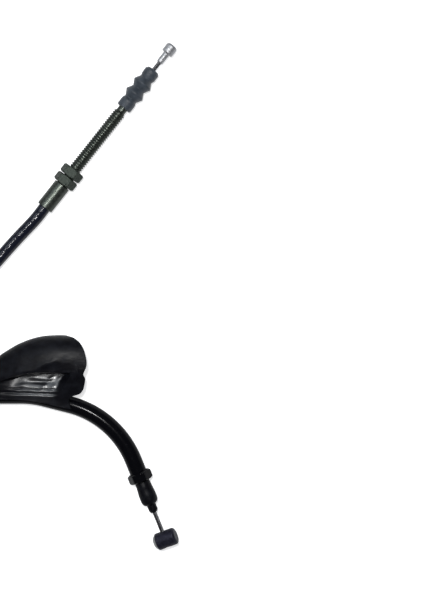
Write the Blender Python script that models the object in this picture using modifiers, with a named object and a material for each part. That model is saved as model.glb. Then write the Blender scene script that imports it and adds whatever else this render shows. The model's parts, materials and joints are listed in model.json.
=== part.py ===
"""Motorcycle clutch cable, laid flat, with its spare casing wound into a coil.

Metres, +Z up, the floor at z = 0. The cable is set out on a sheet: x runs to the right
and y upward from the sheet's top left corner, and BASE_CENTRE moves the middle of the
fittings' footprint to the origin. The engine end is the threaded adjuster at the top,
and the lever end is the bent guide pipe at the bottom.
"""

import math

import bmesh
import bpy
from mathutils import Matrix, Vector

# Sheet
BASE_CENTRE = (0.0289, -0.1426)  # middle of the fittings' footprint, from the sheet's corner

# Fits
SEAT_GAP = 0.0003  # round and between pieces that touch
CAST_GAP = 0.0002  # round the wire where an end is cast on it

# Cable
CASING_D = 0.0060
WIRE_D = 0.0019
LINER_BORE = 0.0023
LINER_WALL = 0.0004
CONDUIT_WALL = 0.00055
JACKET_DEPTH = 0.0062  # casing inside the adjuster's barrel
CONDUIT_LENGTH = 0.0054  # bare steel conduit past the end of the jacket
LINER_REACH = 0.0150  # liner past the end of the jacket
WIRE_IN_LINER = 0.0020  # how far the engine wire reaches into it
PIPE_ENTRY = 0.0080  # casing inside the guide pipe

# Engine end, stacked along its axis from the barrel's mouth
ENGINE_BASE = (0.0214, -0.0996)  # mouth of the barrel on the sheet
ENGINE_ANGLE = math.radians(51.6)
BARREL_D = 0.0080
BARREL_LENGTH = 0.0137
BARREL_EDGE = 0.0004
THREAD_D = 0.0060
THREAD_LENGTH = 0.0449
THREAD_LEAD_IN = 0.0008
GROOVE_D = 0.0045
GROOVE_LENGTH = 0.0034
HEAD_D = 0.0054
HEAD_LENGTH = 0.0024
NUT_FLATS = 0.0100
NUT_THICKNESS = 0.0045

# Bellows boot on the adjuster's head
BELLOWS_WALL = 0.0008
CUP_D = 0.0076
CUP_LENGTH = 0.0046
FOLD_PEAK_D = 0.0098
FOLD_VALLEY_D = 0.0065
FOLD_PITCH = 0.0060
FOLD_COUNT = 2
CAP_D = 0.0075
CAP_LENGTH = 0.0056
CAP_FACE_D = 0.0046

# Engine nipple
ENGINE_FREE_WIRE = 0.0044  # bare wire between the bellows and the nipple
SHANK_D = 0.0032
SHANK_LENGTH = 0.0059
NIPPLE_D = 0.0057
NIPPLE_LENGTH = 0.0047
NIPPLE_EDGE = 0.0009
NIPPLE_BORE_DEPTH = 0.0040

# Coil of spare casing and the two strands that lead to it
COIL_RADIUS = 0.0320  # to the middle of the cord
COIL_LAYERS = 3
STRAND_ANGLE = math.radians(49.2)  # slope of the strand from the engine end
STRAND_POINT = (0.0051, -0.1180)  # a point that it passes on the sheet
LEVER_STRAND_Y = -0.1898
CABLE_HEIGHT = 0.0045  # middle of the lever strand above the floor
STRAIGHT_RUN = 0.0080  # straight casing below the barrel
LIFT_START = 0.0350  # from STRAND_POINT to where the engine strand leaves the floor
LIFT_START_RISE = 0.0016
RAMP_BEFORE = 0.0240  # before the crossing, where the ramp ends
RAMP_SAG = 0.0018
CROSSING_HALF = (0.0060, 0.0080)  # level stretch before and after the crossing
SETTLE = 0.0004  # how far a long strand settles below its ideal height
LAND_RUN = 0.0180  # from the coil to where the lever strand lies straight
BOOT_TRAVEL = 0.0200  # how far the boot slides back along the casing
LEVEL_RUN = 0.0090  # level casing beyond the boot's travel

# Guide pipe at the lever end
PIPE_D = 0.0082
PIPE_WALL = 0.0008
PIPE_START_X = -0.0050
PIPE_BEND_RADIUS = 0.0448
PIPE_RUNS = (0.0152, 0.0127, 0.0105)  # straight lengths before, between and after the bends
PIPE_BENDS = (math.radians(14), math.radians(54))

# Collar, outlet bush and nose seal, from the collar's middle outward
COLLAR_FLATS = 0.0104
COLLAR_THICKNESS = 0.0045
COLLAR_INSET = 0.0020  # collar's middle behind the end of the pipe
BUSH_DEPTH = 0.0100  # bush inside the pipe
SPIGOT_D = 0.0060
SPIGOT_LENGTH = 0.0080  # bush outside the pipe
NOSE_BASE_D = 0.0073
NOSE_BULGE_D = 0.0083
NOSE_LENGTH = 0.0117
NOSE_TIP_D = 0.0045
NOSE_TIP_LENGTH = 0.0040

# Lever nipple
LEVER_FREE_WIRE = 0.0100  # bare wire between the nose and the nipple
LEVER_NIPPLE_D = 0.0082
LEVER_NIPPLE_LENGTH = 0.0113
LEVER_NIPPLE_ROLL = math.radians(9)
LEVER_NIPPLE_DOME = 0.0015
LEVER_NIPPLE_EDGE = 0.0006
LEVER_NIPPLE_BORE_DEPTH = 0.0056
SOLDER_CUP_D = 0.0038
SOLDER_CUP_DEPTH = 0.0012

# Lever boot: a rubber hood, open along the cable and at its wide end
BOOT_WALL = 0.0012
NECK_END_X = -0.0280
NECK_LENGTH = 0.0040
SLIT_START_X = -0.0060
HOOD_FULL_X = 0.0020
HOOD_OUTLINE = (  # far edge of the hood, x and y on the sheet
    (-0.0280, -0.1858),
    (-0.0130, -0.1777),
    (0.0000, -0.1703),
    (0.0092, -0.1649),
    (0.0184, -0.1617),
    (0.0276, -0.1608),
    (0.0320, -0.1609),
    (0.0430, -0.1609),
)
RIM_OUTLINE = (  # share of the way from far edge to lip, and x on the sheet
    (0.000, 0.0318),
    (0.019, 0.0350),
    (0.064, 0.0380),
    (0.138, 0.0404),
    (0.258, 0.0421),
    (0.368, 0.0427),
    (0.428, 0.0424),
    (0.498, 0.0413),
    (0.535, 0.0411),
    (0.579, 0.0418),
    (0.657, 0.0415),
    (0.745, 0.0404),
    (0.789, 0.0388),
    (0.824, 0.0353),
    (1.000, 0.0347),
)
LIP_LINE = (  # lip that lies over the pipe, x and y on the sheet
    (-0.0280, -0.1917),
    (0.0100, -0.1917),
    (0.0200, -0.1929),
    (0.0347, -0.1960),
    (0.0430, -0.1960),
)
RIDGE_LINE = (  # ridge along the top of the crown, x and y on the sheet
    (-0.0280, -0.1888),
    (0.0032, -0.1811),
    (0.0110, -0.1780),
    (0.0176, -0.1768),
    (0.0230, -0.1744),
    (0.0290, -0.1726),
    (0.0430, -0.1745),
)
CROWN_HEIGHT = (  # height of that ridge along x
    (-0.0280, 0.0092),
    (0.0000, 0.0122),
    (0.0120, 0.0146),
    (0.0220, 0.0158),
    (0.0340, 0.0154),
    (0.0430, 0.0142),
)
CROWN_POWER = 2.4
FAR_EDGE_HEIGHT = 0.0046
FAR_EDGE_STEPS = 4
FAR_EDGE_TUCK = 0.9
FOLD_LINE = (  # edge where the crown folds down into the hollow, x and y on the sheet
    (0.0000, -0.1824),
    (0.0085, -0.1799),
    (0.0136, -0.1786),
    (0.0184, -0.1780),
    (0.0330, -0.1781),
)
FOLD_DROP = 0.0030  # width of the fold's slope
HOLLOW_DEPTH = 0.0039
HOLLOW_RISE_Y = (-0.1840, -0.1888)  # where the hollow rises again to the sleeve on the pipe
HOLLOW_START_X = (-0.0060, 0.0090)
HOLLOW_END_X = (0.0260, 0.0335)
HOLLOW_LEAN = 0.6
GROOVE_LINE = ((0.0000, -0.1878), (0.0260, -0.1888))  # groove between hollow and sleeve
GROOVE_DEPTH = 0.0005
GROOVE_WIDTH = 0.0007
RIM_BEAD = 0.0005
RIM_BEAD_WIDTH = 0.0032
RIM_BEAD_START = 0.6
LOWER_LIP_GAP = 0.0007  # between the pipe and the lip that lies on the floor
COLUMN_SPREAD = ((0.0, 0.0), (0.22, 0.08), (0.52, 0.46), (0.86, 0.82), (1.0, 1.0))
UPPER_COLUMNS = 24
LOWER_COLUMNS = 9
WRAP_COLUMNS = 6
BOOT_STATIONS = 29
NECK_LIP_ANGLE = 120  # ends of the neck's upper and lower quarters, in degrees
NECK_FLOOR_ANGLE = -80

ROUND_STEPS = 28
RUBBER = ((0.020, 0.021, 0.025), 0.42, 0.0)
SLATE_RUBBER = ((0.050, 0.060, 0.075), 0.60, 0.0)
JACKET = ((0.016, 0.018, 0.028), 0.30, 0.0)
BLACK_PAINT = ((0.012, 0.012, 0.015), 0.20, 0.0)
OLIVE_STEEL = ((0.150, 0.155, 0.130), 0.38, 1.0)
GREY_STEEL = ((0.170, 0.185, 0.175), 0.42, 1.0)
BRIGHT_ZINC = ((0.620, 0.620, 0.620), 0.28, 1.0)
DARK_ZINC = ((0.090, 0.090, 0.120), 0.30, 1.0)
WIRE_STEEL = ((0.420, 0.410, 0.410), 0.35, 1.0)
NYLON = ((0.720, 0.710, 0.660), 0.45, 0.0)

# Worked out once from the sizes above
WIRE_R = WIRE_D / 2
CASING_R = CASING_D / 2
LINER_BORE_R = LINER_BORE / 2
LINER_R = LINER_BORE_R + LINER_WALL
GUIDE_BORE_R = LINER_R + SEAT_GAP  # bore that holds a liner
CONDUIT_R = GUIDE_BORE_R + CONDUIT_WALL
BARREL_TOP = BARREL_LENGTH
THREAD_TOP = BARREL_TOP + THREAD_LENGTH
GROOVE_TOP = THREAD_TOP + GROOVE_LENGTH
SCREW_TOP = GROOVE_TOP + HEAD_LENGTH
CUP_BASE = GROOVE_TOP - SEAT_GAP - BELLOWS_WALL
FOLDS_BASE = CUP_BASE + CUP_LENGTH + FOLD_PITCH / 6
CAP_BASE = FOLDS_BASE + FOLD_COUNT * FOLD_PITCH
BELLOWS_TOP = CAP_BASE + CAP_LENGTH
SHANK_BASE = BELLOWS_TOP + ENGINE_FREE_WIRE
ENGINE_AXIS_Z = NUT_FLATS / 2
LINER_BASE = JACKET_DEPTH + 2 * SEAT_GAP
PIPE_R = PIPE_D / 2
PIPE_BORE_R = PIPE_R - PIPE_WALL
LEVER_AXIS_Z = COLLAR_FLATS / 2
PIPE_END = COLLAR_INSET  # along the lever axis, from the collar's middle
NOSE_BASE = COLLAR_THICKNESS / 2 + SEAT_GAP
NOSE_STEP = NOSE_BASE + NOSE_LENGTH
NOSE_TIP = NOSE_STEP + NOSE_TIP_LENGTH
LEVER_NIPPLE_AT = NOSE_TIP + LEVER_FREE_WIRE + LEVER_NIPPLE_D / 2
LAYER_RISE = CASING_D + SEAT_GAP


def clear_scene():
    for item in list(bpy.data.objects):
        bpy.data.objects.remove(item, do_unlink=True)


def new_collection(name):
    collection = bpy.data.collections.new(name)
    bpy.context.scene.collection.children.link(collection)
    return collection


clear_scene()
PARTS = new_collection("clutch_cable")
CUTTERS = new_collection("cutters")
MATERIALS = {}


def material(name, finish):
    """A Principled BSDF material, made once for each name."""
    if name not in MATERIALS:
        colour, roughness, metallic = finish
        made = bpy.data.materials.new(name)
        made.use_nodes = True
        shader = made.node_tree.nodes["Principled BSDF"]
        shader.inputs["Base Color"].default_value = (*colour, 1.0)
        shader.inputs["Roughness"].default_value = roughness
        shader.inputs["Metallic"].default_value = metallic
        MATERIALS[name] = made
    return MATERIALS[name]


def axis_frame(name, point, angle, height, parent):
    """An empty with +Z along a level axis at `angle` on the sheet and +X straight up."""
    along = Vector((math.cos(angle), math.sin(angle), 0.0))
    up = Vector((0.0, 0.0, 1.0))
    side = along.cross(up)
    empty = bpy.data.objects.new(name, None)
    turn = Matrix((up, side, along)).transposed().to_4x4()
    empty.matrix_world = Matrix.Translation((point[0], point[1], height)) @ turn
    empty.parent = parent
    PARTS.objects.link(empty)
    return empty


def place(name, data, parent, finish, z=0.0):
    """One named part, set on its parent's axis."""
    piece = bpy.data.objects.new(name, data)
    piece.parent = parent
    piece.location = (0.0, 0.0, z)
    data.materials.append(material(*finish))
    PARTS.objects.link(piece)
    return piece


def cutter(name, data, parent, z=0.0):
    tool = bpy.data.objects.new(name, data)
    tool.parent = parent
    tool.location = (0.0, 0.0, z)
    tool.hide_render = True
    tool.display_type = "WIRE"
    CUTTERS.objects.link(tool)
    return tool


def cut(piece, tool, operation="DIFFERENCE"):
    modifier = piece.modifiers.new(f"{operation.lower()}_{tool.name}", "BOOLEAN")
    modifier.operation = operation
    modifier.solver = "EXACT"
    modifier.object = tool


def rod_mesh(name, radius, length, sides=ROUND_STEPS):
    """A plain cylinder standing on z = 0."""
    mesh = bpy.data.meshes.new(name)
    form = bmesh.new()
    bmesh.ops.create_cone(
        form, cap_ends=True, segments=sides, radius1=radius, radius2=radius, depth=length
    )
    bmesh.ops.translate(form, verts=form.verts, vec=(0.0, 0.0, length / 2))
    form.to_mesh(mesh)
    form.free()
    mesh.shade_smooth()
    mesh.set_sharp_from_angle(angle=math.radians(40))
    return mesh


def profile_mesh(name, points, closed):
    """Edges through (radius, height) points, ready for a Screw modifier."""
    mesh = bpy.data.meshes.new(name)
    count = len(points)
    edges = [(k, k + 1) for k in range(count - 1)]
    if closed:
        edges.append((count - 1, 0))
    mesh.from_pydata([(r, 0.0, z) for r, z in points], edges, [])
    return mesh


def screw(piece, steps=ROUND_STEPS):
    turn = piece.modifiers.new("turned", "SCREW")
    turn.axis = "Z"
    turn.angle = math.tau
    turn.steps = steps
    turn.render_steps = steps
    turn.use_merge_vertices = True
    turn.merge_threshold = 0.00001
    turn.use_smooth_shade = True
    return turn


def turned(name, outer, inner, parent, finish, z=0.0, steps=ROUND_STEPS):
    """A turned piece from its outer and inner outlines, each listed from bottom to top."""
    points = list(reversed(outer))
    if inner:
        points += list(inner)
        closed = True
    else:
        points = [(0.0, outer[-1][1]), *points, (0.0, outer[0][1])]
        closed = False
    piece = place(name, profile_mesh(name, points, closed), parent, finish, z)
    screw(piece, steps)
    return piece


def turned_cutter(name, outer, parent, z=0.0, steps=ROUND_STEPS):
    points = [(0.0, outer[-1][1]), *reversed(outer), (0.0, outer[0][1])]
    tool = cutter(name, profile_mesh(name, points, False), parent, z)
    screw(tool, steps)
    return tool


def quarter(radius_in, z_in, radius_out, z_out, steps=4):
    """Points of a quarter round from one corner point to the other, bulging outward."""
    points = []
    for k in range(steps + 1):
        t = math.pi / 2 * k / steps
        points.append(
            (
                radius_in + (radius_out - radius_in) * math.cos(t),
                z_in + (z_out - z_in) * math.sin(t),
            )
        )
    return points


def interpolate(table, x):
    """A smooth line through a few points, level at none of them."""
    if x <= table[0][0]:
        return table[0][1]
    if x >= table[-1][0]:
        return table[-1][1]
    k = next(i for i in range(len(table) - 1) if table[i + 1][0] >= x)
    slopes = [
        (table[i + 1][1] - table[i][1]) / (table[i + 1][0] - table[i][0])
        for i in range(len(table) - 1)
    ]

    def tangent(i):
        if i == 0:
            return slopes[0]
        if i == len(table) - 1:
            return slopes[-1]
        return (slopes[i - 1] + slopes[i]) / 2

    x0, y0 = table[k]
    x1, y1 = table[k + 1]
    width = x1 - x0
    t = (x - x0) / width
    rise = (2 * t**3 - 3 * t**2 + 1) * y0 + (3 * t**2 - 2 * t**3) * y1
    lean = (t**3 - 2 * t**2 + t) * tangent(k) + (t**3 - t**2) * tangent(k + 1)
    return rise + width * lean


def smoothstep(low, high, x):
    t = min(max((x - low) / (high - low), 0.0), 1.0)
    return t * t * (3 - 2 * t)


def bump(x, middle, width):
    """A soft round hill of height 1."""
    t = (x - middle) / width
    return math.exp(-t * t)


def smooth_route(points, spacing):
    """Even points on a smooth curve through the route's own points."""
    points = [Vector(p) for p in points]
    padded = [2 * points[0] - points[1], *points, 2 * points[-1] - points[-2]]
    fine = []
    for k in range(1, len(padded) - 2):
        a, b, c, d = padded[k - 1 : k + 3]
        for step in range(40):
            t = step / 40
            fine.append(
                0.5
                * (
                    2 * b
                    + (c - a) * t
                    + (2 * a - 5 * b + 4 * c - d) * t * t
                    + (3 * b - a - 3 * c + d) * t**3
                )
            )
    fine.append(points[-1])
    lengths = [0.0]
    for before, after in zip(fine, fine[1:]):
        lengths.append(lengths[-1] + (after - before).length)
    count = max(2, round(lengths[-1] / spacing))
    even = []
    k = 0
    for step in range(count + 1):
        wanted = lengths[-1] * step / count
        while k < len(lengths) - 2 and lengths[k + 1] < wanted:
            k += 1
        share = (wanted - lengths[k]) / max(lengths[k + 1] - lengths[k], 1e-12)
        even.append(fine[k].lerp(fine[k + 1], min(max(share, 0.0), 1.0)))
    return even


def tube_curve(name, points, radius, resolution=2):
    """A round tube along straight pieces between points, with closed ends."""
    curve = bpy.data.curves.new(name, "CURVE")
    curve.dimensions = "3D"
    curve.bevel_depth = radius
    curve.bevel_resolution = resolution
    curve.use_fill_caps = True
    spline = curve.splines.new("POLY")
    spline.points.add(len(points) - 1)
    for spot, point in zip(spline.points, points):
        spot.co = (*point, 1.0)
    spline.use_smooth = True
    return curve


def tube_mesh(name, points, radius, resolution):
    """The same tube as a closed mesh, so that it can be cut."""
    holder = bpy.data.objects.new(name, tube_curve(name, points, radius, resolution))
    bpy.context.scene.collection.objects.link(holder)
    depsgraph = bpy.context.evaluated_depsgraph_get()
    mesh = bpy.data.meshes.new_from_object(holder.evaluated_get(depsgraph))
    bpy.data.objects.remove(holder, do_unlink=True)
    form = bmesh.new()
    form.from_mesh(mesh)
    bmesh.ops.remove_doubles(form, verts=form.verts, dist=0.00001)
    form.to_mesh(mesh)
    form.free()
    return mesh


def hex_piece(name, flats, thickness, bore_r, parent, finish, z):
    """A chamfered hexagon with a flat facing up and a plain bore, its middle at z."""
    corner_r = flats / math.sqrt(3)
    mesh = rod_mesh(name, corner_r, thickness, sides=6)
    mesh.shade_flat()
    piece = place(name, mesh, parent, finish, z - thickness / 2)
    face_r = flats / 2 * 0.96
    rise = (corner_r - face_r) * math.tan(math.radians(30))
    over = 0.001
    chamfer = [
        (face_r, 0.0),
        (corner_r + over, rise + over * math.tan(math.radians(30))),
        (corner_r + over, thickness - rise - over * math.tan(math.radians(30))),
        (face_r, thickness),
    ]
    body = turned_cutter(f"{name}_chamfer", chamfer, parent, z - thickness / 2, 36)
    cut(piece, body, "INTERSECT")
    reach = thickness / 2 + over
    bore = cutter(f"{name}_bore", rod_mesh(f"{name}_bore", bore_r, 2 * reach), parent, z - reach)
    cut(piece, bore)
    return piece


# Engine end


def adjuster_screw(parent):
    """Threaded adjuster and the barrel that takes the casing, turned in one piece."""
    edge = BARREL_EDGE
    barrel_r = BARREL_D / 2
    jacket_bore = CASING_R + SEAT_GAP
    conduit_bore = CONDUIT_R + SEAT_GAP
    seat = JACKET_DEPTH + SEAT_GAP
    shoulder = seat + CONDUIT_LENGTH + 2 * SEAT_GAP
    outer = [
        (barrel_r - edge, 0.0),
        (barrel_r, edge),
        (barrel_r, BARREL_TOP - edge),
        (barrel_r - edge, BARREL_TOP),
        (THREAD_D / 2, BARREL_TOP),
        (THREAD_D / 2, THREAD_TOP - THREAD_LEAD_IN),
        (GROOVE_D / 2, THREAD_TOP),
        (GROOVE_D / 2, GROOVE_TOP),
        (HEAD_D / 2, GROOVE_TOP),
        (HEAD_D / 2, SCREW_TOP - edge),
        (HEAD_D / 2 - edge, SCREW_TOP),
    ]
    inner = [
        (jacket_bore, 0.0),
        (jacket_bore, seat),
        (conduit_bore, seat),
        (conduit_bore, shoulder),
        (GUIDE_BORE_R, shoulder),
        (GUIDE_BORE_R, SCREW_TOP),
    ]
    return turned("adjuster_screw", outer, inner, parent, ("olive_steel", OLIVE_STEEL))


def conduit_end(parent):
    """Close-wound steel conduit, bared where it seats in the barrel."""
    turns = 6
    pitch = CONDUIT_LENGTH / turns
    outer = []
    for k in range(turns):
        base = k * pitch
        outer += [(CONDUIT_R - 0.0001, base), (CONDUIT_R, base + pitch / 2)]
    outer.append((CONDUIT_R - 0.0001, CONDUIT_LENGTH))
    inner = [(GUIDE_BORE_R, 0.0), (GUIDE_BORE_R, CONDUIT_LENGTH)]
    return turned("conduit_end", outer, inner, parent, ("wire_steel", WIRE_STEEL), LINER_BASE, 16)


def liner_end(name, base, length, parent):
    """Nylon liner that the wire runs in."""
    outer = [(LINER_R, 0.0), (LINER_R, length)]
    inner = [(LINER_BORE_R, 0.0), (LINER_BORE_R, length)]
    return turned(name, outer, inner, parent, ("nylon", NYLON), base, 16)


def bellows_boot(parent):
    """Pleated dust boot: a cup on the adjuster's head, two folds and a cap round the wire."""
    cup_r = CUP_D / 2
    edge = 0.0005
    lip_r = GROOVE_D / 2 + SEAT_GAP
    top = CUP_BASE + CUP_LENGTH
    points = [
        (lip_r, CUP_BASE),
        (cup_r - edge, CUP_BASE),
        (cup_r, CUP_BASE + edge),
        (cup_r, top - edge),
        (FOLD_VALLEY_D / 2, FOLDS_BASE),
    ]
    for k in range(FOLD_COUNT):
        base = FOLDS_BASE + k * FOLD_PITCH
        points += [
            (FOLD_PEAK_D / 2 - 0.0001, base + FOLD_PITCH * 0.46),
            (FOLD_PEAK_D / 2 - 0.0001, base + FOLD_PITCH * 0.54),
            (FOLD_VALLEY_D / 2, base + FOLD_PITCH),
        ]
    cap_r = CAP_D / 2
    shoulder = CAP_BASE + CAP_LENGTH * 0.28
    rounding = CAP_LENGTH * 0.30
    face_r = CAP_FACE_D / 2
    points.append((cap_r, shoulder))
    points += quarter(face_r, BELLOWS_TOP - rounding, cap_r, BELLOWS_TOP)
    points.append((WIRE_R + CAST_GAP, BELLOWS_TOP))
    outer = list(reversed(points))
    piece = place(
        "bellows_boot",
        profile_mesh("bellows_boot", outer, False),
        parent,
        ("slate_rubber", SLATE_RUBBER),
    )
    screw(piece)
    wall = piece.modifiers.new("wall", "SOLIDIFY")
    wall.thickness = BELLOWS_WALL
    wall.offset = -1.0
    wall.use_even_offset = True
    return piece


def engine_wire(parent):
    """Inner wire from inside the adjuster to the nipple it is cast into."""
    start = LINER_BASE + LINER_REACH - WIRE_IN_LINER
    end = SHANK_BASE + NIPPLE_BORE_DEPTH - SEAT_GAP
    mesh = rod_mesh("engine_wire", WIRE_R, end - start, sides=14)
    return place("engine_wire", mesh, parent, ("wire_steel", WIRE_STEEL), start)


def engine_nipple(parent):
    """Cast nipple with a shank, blind bored for the wire."""
    edge = NIPPLE_EDGE
    shank_r = SHANK_D / 2
    head_r = NIPPLE_D / 2
    end = SHANK_LENGTH + NIPPLE_LENGTH
    bore_r = WIRE_R + CAST_GAP
    outer = [
        (shank_r - 0.0005, 0.0),
        (shank_r, 0.0007),
        (shank_r, SHANK_LENGTH - 0.0005),
        (shank_r + 0.0004, SHANK_LENGTH),
        (head_r - 0.0004, SHANK_LENGTH),
        (head_r, SHANK_LENGTH + 0.0004),
    ]
    outer += quarter(head_r - edge, end - edge, head_r, end)
    outer.append((0.0, end + 0.0003))
    inner = [(bore_r, 0.0), (bore_r, NIPPLE_BORE_DEPTH), (0.0, NIPPLE_BORE_DEPTH)]
    points = list(reversed(outer)) + inner
    piece = place(
        "engine_nipple",
        profile_mesh("engine_nipple", points, False),
        parent,
        ("bright_zinc", BRIGHT_ZINC),
        SHANK_BASE,
    )
    screw(piece)
    return piece


# Casing


def strand_direction():
    """Heading on the sheet of the engine strand as it leaves the engine end."""
    return Vector((-math.cos(STRAND_ANGLE), -math.sin(STRAND_ANGLE), 0.0))


def coil_centre():
    """Centre of a clockwise coil that both strands touch as they run straight."""
    heading = strand_direction()
    right = Vector((heading.y, -heading.x, 0.0))
    y = LEVER_STRAND_Y - COIL_RADIUS
    start = Vector((*STRAND_POINT, 0.0))
    x = start.x + (COIL_RADIUS - right.y * (y - start.y)) / right.x
    return Vector((x, y, 0.0))


def strand_clearance():
    """How far from its touching point a strand clears the outside of the coil's ring."""
    inside = COIL_RADIUS - CASING_R
    outside = COIL_RADIUS + CASING_R + SEAT_GAP
    return math.sqrt(outside**2 - inside**2)


def engine_strand(parent):
    """Casing from the barrel to the coil, passing over the lever strand on its way."""
    heading = strand_direction()
    right = Vector((heading.y, -heading.x, 0.0))
    out = Vector((math.cos(ENGINE_ANGLE), math.sin(ENGINE_ANGLE), 0.0))
    up = Vector((0.0, 0.0, 1.0))
    mouth = Vector((*ENGINE_BASE, ENGINE_AXIS_Z))
    touch = coil_centre() - right * COIL_RADIUS
    passing = Vector((*STRAND_POINT, 0.0))
    crossing = passing + heading * ((passing.y - LEVER_STRAND_Y) / -heading.y)
    over = CABLE_HEIGHT + LAYER_RISE
    top = CASING_R + (COIL_LAYERS - 1) * LAYER_RISE
    run = (touch - crossing).length
    end = touch - heading * strand_clearance()
    landed = 1 - strand_clearance() / run
    route = [
        mouth + out * JACKET_DEPTH,
        mouth,
        mouth - out * STRAIGHT_RUN,
        passing + up * ENGINE_AXIS_Z,
        passing + heading * LIFT_START + up * (ENGINE_AXIS_Z + LIFT_START_RISE),
        crossing - heading * RAMP_BEFORE + up * (over - RAMP_SAG),
        crossing - heading * CROSSING_HALF[0] + up * over,
        crossing + heading * CROSSING_HALF[1] + up * (over + SEAT_GAP),
        crossing.lerp(touch, 0.5 * landed) + up * (0.5 * (over + top) - SETTLE),
        end + up * (top - SETTLE),
    ]
    points = smooth_route(route, 2.5 * CASING_D)
    curve = tube_curve("casing_engine_run", points, CASING_R)
    return place("casing_engine_run", curve, parent, ("jacket", JACKET))


def lever_strand(parent):
    """Casing from the coil to the guide pipe, level where the boot slides on it."""
    centre = coil_centre()
    start = centre.x + strand_clearance()
    level = NECK_END_X - BOOT_TRAVEL - LEVEL_RUN
    route = [
        (start, LEVER_STRAND_Y, CASING_R),
        (start + LAND_RUN, LEVER_STRAND_Y, CASING_R + SETTLE),
        (level - LEVEL_RUN, LEVER_STRAND_Y, CABLE_HEIGHT - SETTLE / 2),
        (level, LEVER_STRAND_Y, CABLE_HEIGHT),
        (NECK_END_X, LEVER_STRAND_Y, CABLE_HEIGHT),
        (PIPE_START_X, LEVER_STRAND_Y, CABLE_HEIGHT),
        (PIPE_START_X + PIPE_ENTRY, LEVER_STRAND_Y, CABLE_HEIGHT),
    ]
    points = smooth_route(route, 2.5 * CASING_D)
    curve = tube_curve("casing_lever_run", points, CASING_R)
    return place("casing_lever_run", curve, parent, ("jacket", JACKET))


def casing_coil(parent):
    """Outer shape of the coiled casing: one ring, as tall as its layers."""
    height = CASING_D + (COIL_LAYERS - 1) * LAYER_RISE
    soft = CASING_R * 0.6
    low_r = COIL_RADIUS - CASING_R
    high_r = COIL_RADIUS + CASING_R
    outer = [(high_r - soft, 0.0), (high_r, soft), (high_r, height - soft), (high_r - soft, height)]
    inner = [(low_r + soft, 0.0), (low_r, soft), (low_r, height - soft), (low_r + soft, height)]
    piece = turned("casing_coil", outer, inner, parent, ("jacket", JACKET), 0.0, 48)
    piece.location = coil_centre()
    return piece


# Lever end


def pipe_path():
    """Middle line of the guide pipe: straight runs joined by two bends of one radius."""
    spot = Vector((PIPE_START_X, LEVER_STRAND_Y, 0.0))
    angle = 0.0
    points = [spot.copy()]
    for k, run in enumerate(PIPE_RUNS):
        spot = spot + Vector((math.cos(angle), math.sin(angle), 0.0)) * run
        points.append(spot.copy())
        if k == len(PIPE_BENDS):
            break
        steps = max(3, round(PIPE_BENDS[k] / math.radians(4.5)))
        turn = PIPE_BENDS[k] / steps
        chord = 2 * PIPE_BEND_RADIUS * math.sin(turn / 2)
        for _ in range(steps):
            middle = angle - turn / 2
            spot = spot + Vector((math.cos(middle), math.sin(middle), 0.0)) * chord
            angle -= turn
            points.append(spot.copy())
    level_from = len(points) - 1
    for k, point in enumerate(points):
        share = smoothstep(0, level_from - 1, k)
        point.z = CABLE_HEIGHT + (LEVER_AXIS_Z - CABLE_HEIGHT) * share
    return points, angle


def elbow_pipe(parent):
    """Preformed guide pipe, one bent tube."""
    points, _ = pipe_path()
    piece = place(
        "elbow_pipe",
        tube_mesh("elbow_pipe", points, PIPE_R, 5),
        parent,
        ("black_paint", BLACK_PAINT),
    )
    piece.data.shade_smooth()
    longer = [point.copy() for point in points]
    longer[0] += (points[0] - points[1]).normalized() * 0.001
    longer[-1] += (points[-1] - points[-2]).normalized() * 0.001
    bore = cutter("elbow_bore", tube_mesh("elbow_bore", longer, PIPE_BORE_R, 4), parent)
    cut(piece, bore)
    return piece


def outlet_bush(parent):
    """Guide bush in the pipe's end, with the spigot that carries the nose seal."""
    bush_r = PIPE_BORE_R - SEAT_GAP
    edge = 0.0004
    end = PIPE_END + SPIGOT_LENGTH
    outer = [
        (bush_r - edge, PIPE_END - BUSH_DEPTH),
        (bush_r, PIPE_END - BUSH_DEPTH + edge),
        (bush_r, PIPE_END),
        (SPIGOT_D / 2, PIPE_END + 0.0001),
        (SPIGOT_D / 2, end - edge),
        (SPIGOT_D / 2 - edge, end),
    ]
    inner = [(GUIDE_BORE_R, PIPE_END - BUSH_DEPTH), (GUIDE_BORE_R, end)]
    return turned("outlet_bush", outer, inner, parent, ("grey_steel", GREY_STEEL))


def nose_seal(parent):
    """Rubber nose that closes the pipe's end round the wire."""
    base_r = NOSE_BASE_D / 2
    bulge_r = NOSE_BULGE_D / 2
    tip_r = NOSE_TIP_D / 2
    outer = [
        (base_r - 0.0003, NOSE_BASE),
        (base_r, NOSE_BASE + 0.0003),
        (base_r + 0.45 * (bulge_r - base_r), NOSE_BASE + NOSE_LENGTH * 0.30),
        (bulge_r, NOSE_BASE + NOSE_LENGTH * 0.58),
        (bulge_r, NOSE_BASE + NOSE_LENGTH * 0.74),
    ]
    outer += quarter(tip_r + 0.0004, NOSE_STEP - 0.0022, bulge_r - 0.0001, NOSE_STEP)
    outer += [
        (tip_r, NOSE_STEP + 0.0003),
        (tip_r, NOSE_STEP + NOSE_TIP_LENGTH * 0.55),
    ]
    outer += quarter(tip_r * 0.55, NOSE_TIP - 0.0012, tip_r * 0.94, NOSE_TIP)
    hollow_r = SPIGOT_D / 2 + SEAT_GAP
    end = PIPE_END + SPIGOT_LENGTH + SEAT_GAP
    hole_r = WIRE_R + CAST_GAP
    inner = [
        (hollow_r, NOSE_BASE),
        (hollow_r, end),
        (hollow_r * 0.7, end + 0.0012),
        (hole_r + 0.0003, NOSE_STEP),
        (hole_r, NOSE_STEP + 0.0012),
        (hole_r, NOSE_TIP),
    ]
    return turned("nose_seal", outer, inner, parent, ("rubber", RUBBER))


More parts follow.
